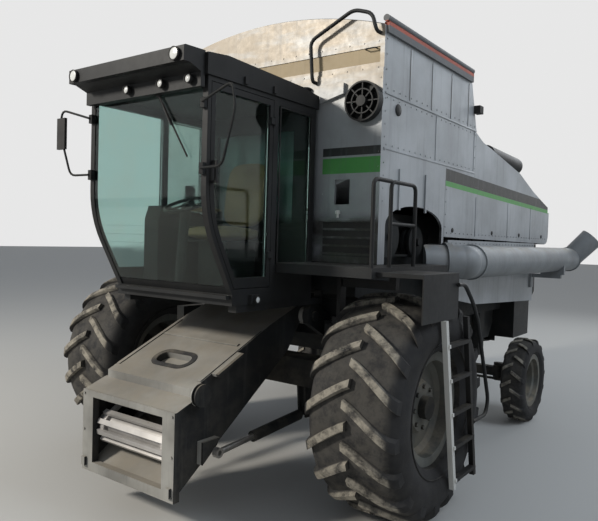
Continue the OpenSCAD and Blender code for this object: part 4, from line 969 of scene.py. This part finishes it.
@dataclass
class LampSet:
    """Lamps as a rim with a lens set into it."""

    rim: float = 0.006

    def round_lamp(self, cup: Shape, lens: Shape, centre: Point, axis: Point, radius: float,
                   depth: float) -> None:
        """Adds a round lamp whose back sits at centre and that faces along axis."""
        inner = radius - self.rim
        cup.lathe([(0, 0), (radius * 0.8, 0), (radius, depth * 0.4), (radius, depth), (inner, depth),
                   (inner, depth * 0.6), (0, depth * 0.6)], centre, axis, 32)
        edge = inner - 0.0008
        lens.lathe([(0, depth * 0.62), (edge, depth * 0.62), (edge, depth * 0.8), (edge * 0.6, depth * 0.93),
                    (0, depth * 0.98)], centre, axis, 32)

    def build(self) -> None:
        """Makes all lamps."""
        cup, lens = Shape("lamp_housings"), Shape("lamp_lenses")
        for side in Side:
            s = side.value
            self.round_lamp(cup, lens, (0.575 * s, -1.6053, 3.388), (0, -1, 0), 0.047, 0.024)
            self.round_lamp(cup, lens, (0.6993 * s, -0.85, 1.69), (s, 0, 0), 0.03, 0.0257)
            for y in (-1.03, -0.69):
                low, high = sorted((0.6833 * s, 0.7 * s))
                cup.box((low, y, 3.3), (high, y + 0.034, 3.352))
        for x in (-0.11, 0.27, 0.56):
            self.round_lamp(cup, lens, (x, -1.4443, 3.256), (0, -1, 0), 0.034, 0.04)
        cup.box((1.2863, 1.96, 3.56), (1.356, 2.058, 3.64))
        lens.box((1.292, 2.0585, 3.566), (1.35, 2.07, 3.634))
        cup.finish(PLASTIC, "body", "work_lamps", bevel=0.0015)
        lens.finish(LAMP, "body", "work_lamps")


@dataclass
class FrontWallFittings:
    """What is fixed to the tank: strip, dark plates of painted shade for the recesses, shelves, grip, small
    round covers and a knob.
    """

    wall_y: float = -0.025
    side_x: float = 1.2864

    def build(self) -> None:
        """Makes the fittings."""
        y = self.wall_y
        Shape("strip_plate").box((-1.244, -0.006, 3.63), (1.244, -0.002, 3.755)).finish(TAN, "body")
        # dark plates of painted shade in the recesses under the shelves
        recess_shade = Shape("recess_shade_plates").box((0.742, y - 0.003, 2.03), (1.238, y - CLEAR, 2.34))
        recess_shade.mirrored().finish(DARK, "body")
        shelf = Shape("shelf_lips").box((0.7, y - 0.034, 2.345), (1.262, y - CLEAR, 2.355))
        shelf.box((0.7, y - 0.034, 2.328), (1.262, y - 0.031, 2.3449)).mirrored().finish(SILVER, "body")
        trim = Shape("front_grips").pipe([(1.12, -0.0143, 3.74), (1.12, -0.05, 3.74), (1.22, -0.05, 3.74),
                                          (1.22, -0.0143, 3.74)], 0.012, 0.02)
        trim.lathe([(0, 0), (0.035, 0), (0.035, 0.01), (0.03, 0.014), (0, 0.014)],
                   (0.98, y - CLEAR, 3.31), (0, -1, 0), 24)
        trim.lathe([(0, 0), (0.05, 0), (0.05, 0.006), (0.044, 0.01), (0, 0.01)],
                   (self.side_x, 0.25, 3.28), (1, 0, 0), 32)
        trim.finish(BLACK, "body")
        knob = [(0, 0), (0.012, 0), (0.012, 0.03), (0.022, 0.035), (0.022, 0.055), (0.014, 0.064), (0, 0.064)]
        Shape("shelf_knob").lathe(knob, (0.9, y - 0.018, 2.3552), (0, 0, 1), 24).finish(WHITE, "body")


@dataclass
class CabTrim:
    """Wiper on the windshield and the seals round both side windows."""

    glass_y: float = -1.386
    seal_x: tuple[float, float] = (0.6692, 0.6752)      # inner and outer face of a seal

    def build(self) -> None:
        """Makes the trim."""
        y, (x0, x1) = self.glass_y, self.seal_x
        wiper = Shape("wiper").pipe([(0.17, y - 0.012, 3.2), (0.33, y - 0.03, 2.965)], 0.012, sides=8)
        wiper.lathe([(0, 0), (0.022, 0), (0.022, 0.02), (0.014, 0.028), (0, 0.028)],
                    (0.17, y - CLEAR, 3.2), (0, -1, 0), 20)
        blade = [(x, y - 0.014, z) for x, z in ((0.18, 3.185), (0.3, 3.01), (0.49, 2.73))]
        wiper.pipe(blade, 0.014, sides=8)
        wiper.finish(PLASTIC, "body")
        seals = Shape("side_seals")
        for y0, y1, z0, z1 in ((-0.576, -0.566, 1.965, 3.21), (-0.15, -0.14, 1.965, 3.21),
                               (-0.576, -0.14, 1.955, 1.965), (-0.576, -0.14, 3.21, 3.22)):
            seals.box((x0, y0, z0), (x1, y1, z1))
        seals.mirrored().finish(PLASTIC, "body")


@dataclass
class SheetSeams:
    """Folded joints and stiffening beads on the galvanised side sheets."""

    sheet_x: float = 1.2863

    def build(self) -> None:
        """Makes the beads of both sides."""
        x = self.sheet_x
        seams = Shape("sheet_seams")
        seams.box((x, 0.02, 2.925), (x + 0.005, 2.04, 2.94))
        seams.box((x, 0.02, 3.376), (x + 0.007, 2.055, 3.392))
        for y in (0.45, 0.9, 1.35, 1.8):
            seams.box((x, y, 3.4), (x + 0.005, y + 0.022, 3.84))
        for y in (1.02, 2.0):
            seams.box((x, y, 2.95), (x + 0.004, y + 0.016, 3.37))
        for y in (2.12, 3.2, 4.15):
            seams.box((x, y, 2.25), (x + 0.004, y + 0.014, 2.68))
        seams.mirrored().finish(SILVER, "body", bevel=0.001)
        latch = Shape("panel_latches")
        for y in (1.5, 2.66, 3.68, 4.7):
            latch.lathe([(0, 0), (0.024, 0), (0.024, 0.005), (0.018, 0.009), (0, 0.009)],
                        (x, y, 2.3), (1, 0, 0), 20)
        latch.mirrored().finish(DARK, "body")


@dataclass
class Tyre:
    """Lug tyre with a rounded carcass, sidewall ridges and chevron lugs with chamfered edges."""

    node: str
    body: str
    centre: Point
    width: float
    radius: float
    lug_h: float
    lugs: int
    bead_r: float
    seat: float
    ring_r: float
    sweep: float
    lug_half: float
    finish: Finish

    def wall(self) -> list[tuple[float, float]]:
        """Half of the carcass as (radius, share of the half width), rounded between its points."""
        base = self.radius - self.lug_h
        side = base - self.ring_r
        ring = self.ring_r
        knots = [(ring + 0.008, 0.82), (ring + side * 0.3, 0.97), (ring + side * 0.5, 1.0),
                 (ring + side * 0.72, 0.96), (base - side * 0.12, 0.87), (base - side * 0.03, 0.74),
                 (base, 0.45)]
        line = [knots[0]]
        for k in range(1, len(knots) - 1):
            before, here, after = Vector(knots[k - 1]), Vector(knots[k]), Vector(knots[k + 1])
            a, b = here.lerp(before, 0.3), here.lerp(after, 0.3)
            line += [tuple(a), tuple(a.lerp(b, 0.5).lerp(here, 0.45)), tuple(b)]
        line.append(knots[-1])
        ridge = ring + side * 0.2
        line.insert(1, (ridge - 0.004, 0.918))
        line.insert(2, (ridge, 0.95))
        line.insert(3, (ridge + 0.006, 0.945))
        return sorted(line)

    def build(self) -> None:
        """Makes the tyre in place of its CAD node."""
        shape, h = Shape(self.node + "_treaded"), self.width / 2
        wall = self.wall()
        profile = [(self.bead_r, -self.seat), (self.ring_r + 0.002, -self.seat)]
        profile += [(r, -h * share) for r, share in wall] + [(r, h * share) for r, share in reversed(wall)]
        profile += [(self.ring_r + 0.002, self.seat), (self.bead_r, self.seat)]
        shape.lathe(profile, self.centre, (1, 0, 0), 96)
        for k in range(self.lugs):
            for side in (1, -1):
                self.lug(shape, math.tau * (k + (0.5 if side < 0 else 0.0)) / self.lugs, side)
        shape.finish(self.finish, self.body, self.node, smooth=30)

    def lug(self, shape: Shape, start: float, side: int) -> None:
        """Adds one lug from the crown's middle to the shoulder.

        Args:
            shape: the tyre's shape.
            start: angle about the axle at which it starts.
            side: 1 or -1, the half of the tread that it lies on.
        """
        w, r, base, lh = self.width, self.radius, self.radius - self.lug_h, self.lug_h
        rings = []
        # shares of the width and the sweep, outer and foot radius, share of the lug's half width
        for x, turn, top, foot, half in (
                (-0.02, 0.0, r, base - 0.02, 1.0), (0.05, 0.12, r, base - 0.02, 1.06),
                (0.15, 0.33, r - 0.001, base - w * 0.02, 1.1),
                (0.25, 0.56, r - 0.003, base - w * 0.035, 1.14),
                (0.34, 0.78, r - lh * 0.22, base - w * 0.07, 1.2),
                (0.41, 0.96, r - lh * 0.6, base - w * 0.12, 1.28),
                (0.452, 1.08, r - lh * 1.15, base - w * 0.16, 1.34),
                (0.478, 1.16, r - lh * 1.9, base - w * 0.2, 1.36)):
            a0, hw = math.radians(self.sweep) * turn, self.lug_half * half
            ring = []
            for rho, share in ((foot, -1.12), (top - 0.006, -0.86), (top, -0.72), (top, 0.72),
                               (top - 0.006, 0.86), (foot, 1.12)):
                a = start + a0 + share * hw / rho
                ring.append(Vector((self.centre[0] + side * x * w, self.centre[1] - rho * math.sin(a),
                                    self.centre[2] + rho * math.cos(a))))
            rings.append(ring if side > 0 else list(reversed(ring)))
        shape.rings(rings)


def tyre_set() -> list[Tyre]:
    """The four tyres."""
    front = dict(width=0.775, radius=FRONT_RADIUS, lug_h=0.046, lugs=18, bead_r=0.41, seat=0.2568,
                 ring_r=0.448, sweep=15.0, lug_half=0.035, finish=TYRE)
    rear = dict(width=0.286, radius=REAR_RADIUS, lug_h=0.026, lugs=15, bead_r=0.296, seat=0.0904,
                ring_r=0.322, sweep=9.0, lug_half=0.021, finish=REAR_TYRE)
    tyres = []
    for side in Side:
        for end, x, y, sizes in (("front", 1.524, 0.0, front), ("rear", 1.51, WHEELBASE, rear)):
            label = side.name.lower()
            centre = (x * side.value, y, sizes["radius"])
            tyres.append(Tyre(f"tyre_{end}_{label}", f"{end}_{label}_wheel", centre, **sizes))
    return tyres


@dataclass
class FeederTrim:
    """Lip round the slot in the feeder house's top, and flat strips beside and across it."""

    slope: float = 24.0
    top_y: float = -1.0323
    top_z: float = 1.1592

    def build(self) -> None:
        """Makes the trim, drawn flat at the slot and turned to the feeder's slope."""
        pivot = (0.0, self.top_y, self.top_z)
        half, r, z = 0.11, 0.07, self.top_z + 0.0006
        oval = []
        for x, start in ((half, -90), (-half, 90)):
            turns = [math.radians(start + 15 * k) for k in range(13)]
            oval += [(x + r * math.cos(t), r * math.sin(t)) for t in turns]
        lip, n = Shape("slot_lip"), len(oval)
        rings = []
        for k in range(n):
            a, b, c = (Vector((*oval[(k + d) % n], 0.0)) for d in (-1, 0, 1))
            out = Vector(((c - a).y, -(c - a).x, 0.0)).normalized()
            at = Vector((0, self.top_y, z)) + b
            rings.append([at + out * 0.001, at + out * 0.045, at + out * 0.045 + Vector((0, 0, 0.005)),
                          at + out * 0.001 + Vector((0, 0, 0.005))])
        lip.rings(rings, closed=True)
        lip.turn(self.slope, pivot).finish(DARK, "feeder")
        strips = Shape("feeder_edges")
        for x in (-0.475, 0.475):
            strips.box((x - 0.018, self.top_y - 0.2, z), (x + 0.018, self.top_y + 0.56, z + 0.007))
        strips.box((-0.44, self.top_y + 0.3, z), (0.44, self.top_y + 0.33, z + 0.01))
        strips.turn(self.slope, pivot).finish(FEEDER, "feeder", bevel=0.001)


@dataclass
class BoltSets:
    """Bolt heads along the sheets, on the feeder house and on the four wheels."""

    pitch: float = 0.11
    sheet_x: float = 1.2885

    def build(self) -> None:
        """Bakes one piece of heads for each body."""
        rows = ((2.965, 0.06, 2.0), (3.35, 0.06, 2.0), (3.425, 0.06, 2.0), (2.27, 1.36, 4.9),
                (2.17, 1.5, 4.3))
        columns = ((0.03, 2.5, 3.34), (0.03, 3.45, 3.82), (2.035, 2.98, 3.34), (1.315, 2.33, 2.7),
                   (5.04, 2.38, 2.55))
        wall = ((-0.0275, (1.262, 2.42), (1.262, 3.5), 0.12), (-0.0275, (0.72, 2.42), (0.72, 2.7), 0.12),
                (-0.0165, (0.03, 3.59), (1.23, 3.59), 0.15), (-0.0165, (0.1, 3.80), (1.23, 3.80), 0.15))
        body = Fasteners("sheet_bolts", "body", 0.0068, 0.005)
        for side in Side:
            s = side.value
            x, out = self.sheet_x * s, (float(s), 0.0, 0.0)
            for z, y0, y1 in rows:
                body.row((x, y0, z), (x, y1, z), self.pitch, out)
            for y, z0, z1 in columns:
                body.row((x, y, z0), (x, y, z1), self.pitch, out)
            for y, (x0, z0), (x1, z1), pitch in wall:
                body.row((x0 * s, y, z0), (x1 * s, y, z1), pitch, (0.0, -1.0, 0.0))
        body.build(SILVER)
        feeder = Fasteners("feeder_bolts", "feeder", 0.01, 0.008, 11)
        for side in Side:
            x = 0.515 * side.value
            feeder.row((x, -1.509, 0.30), (x, -1.509, 0.88), 0.29, (0.0, -1.0, 0.0))
        feeder.build(FEEDER)
        for side in Side:
            s, label = side.value, side.name.lower()
            for end, x, y, z, radius, count, head in (
                    ("front", 1.731, 0.0, FRONT_RADIUS, 0.162, 8, 0.019),
                    ("rear", 1.511, WHEELBASE, REAR_RADIUS, 0.082, 6, 0.016)):
                nuts = Fasteners(f"nuts_{end}_{label}", f"{end}_{label}_wheel", head, 0.016, 3)
                nuts.circle((x * s, y, z), radius, count, (float(s), 0.0, 0.0)).build(CASTING)


def dress_nodes(nodes: dict) -> None:
    """Gives every CAD node its finish."""
    for finish, names in NODE_FINISH.items():
        for name in names:
            set_finish(nodes[name].data, finish)


def main() -> None:
    """Builds the scene, one sub-assembly after another."""
    logging.basicConfig(level=logging.INFO, format="%(message)s")
    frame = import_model()
    Studio().build()
    dress_nodes(frame["nodes"])
    LOG.info("finishes on %d nodes", len(frame["nodes"]))
    for part in (TankCover(), DriverSeat(), Pipework(), LampSet(), FrontWallFittings(), CabTrim(),
                 SheetSeams(), FeederTrim(), *tyre_set(), BoltSets()):
        part.build()
        LOG.info("%s built", type(part).__name__)


if __name__ == "__main__":
    main()
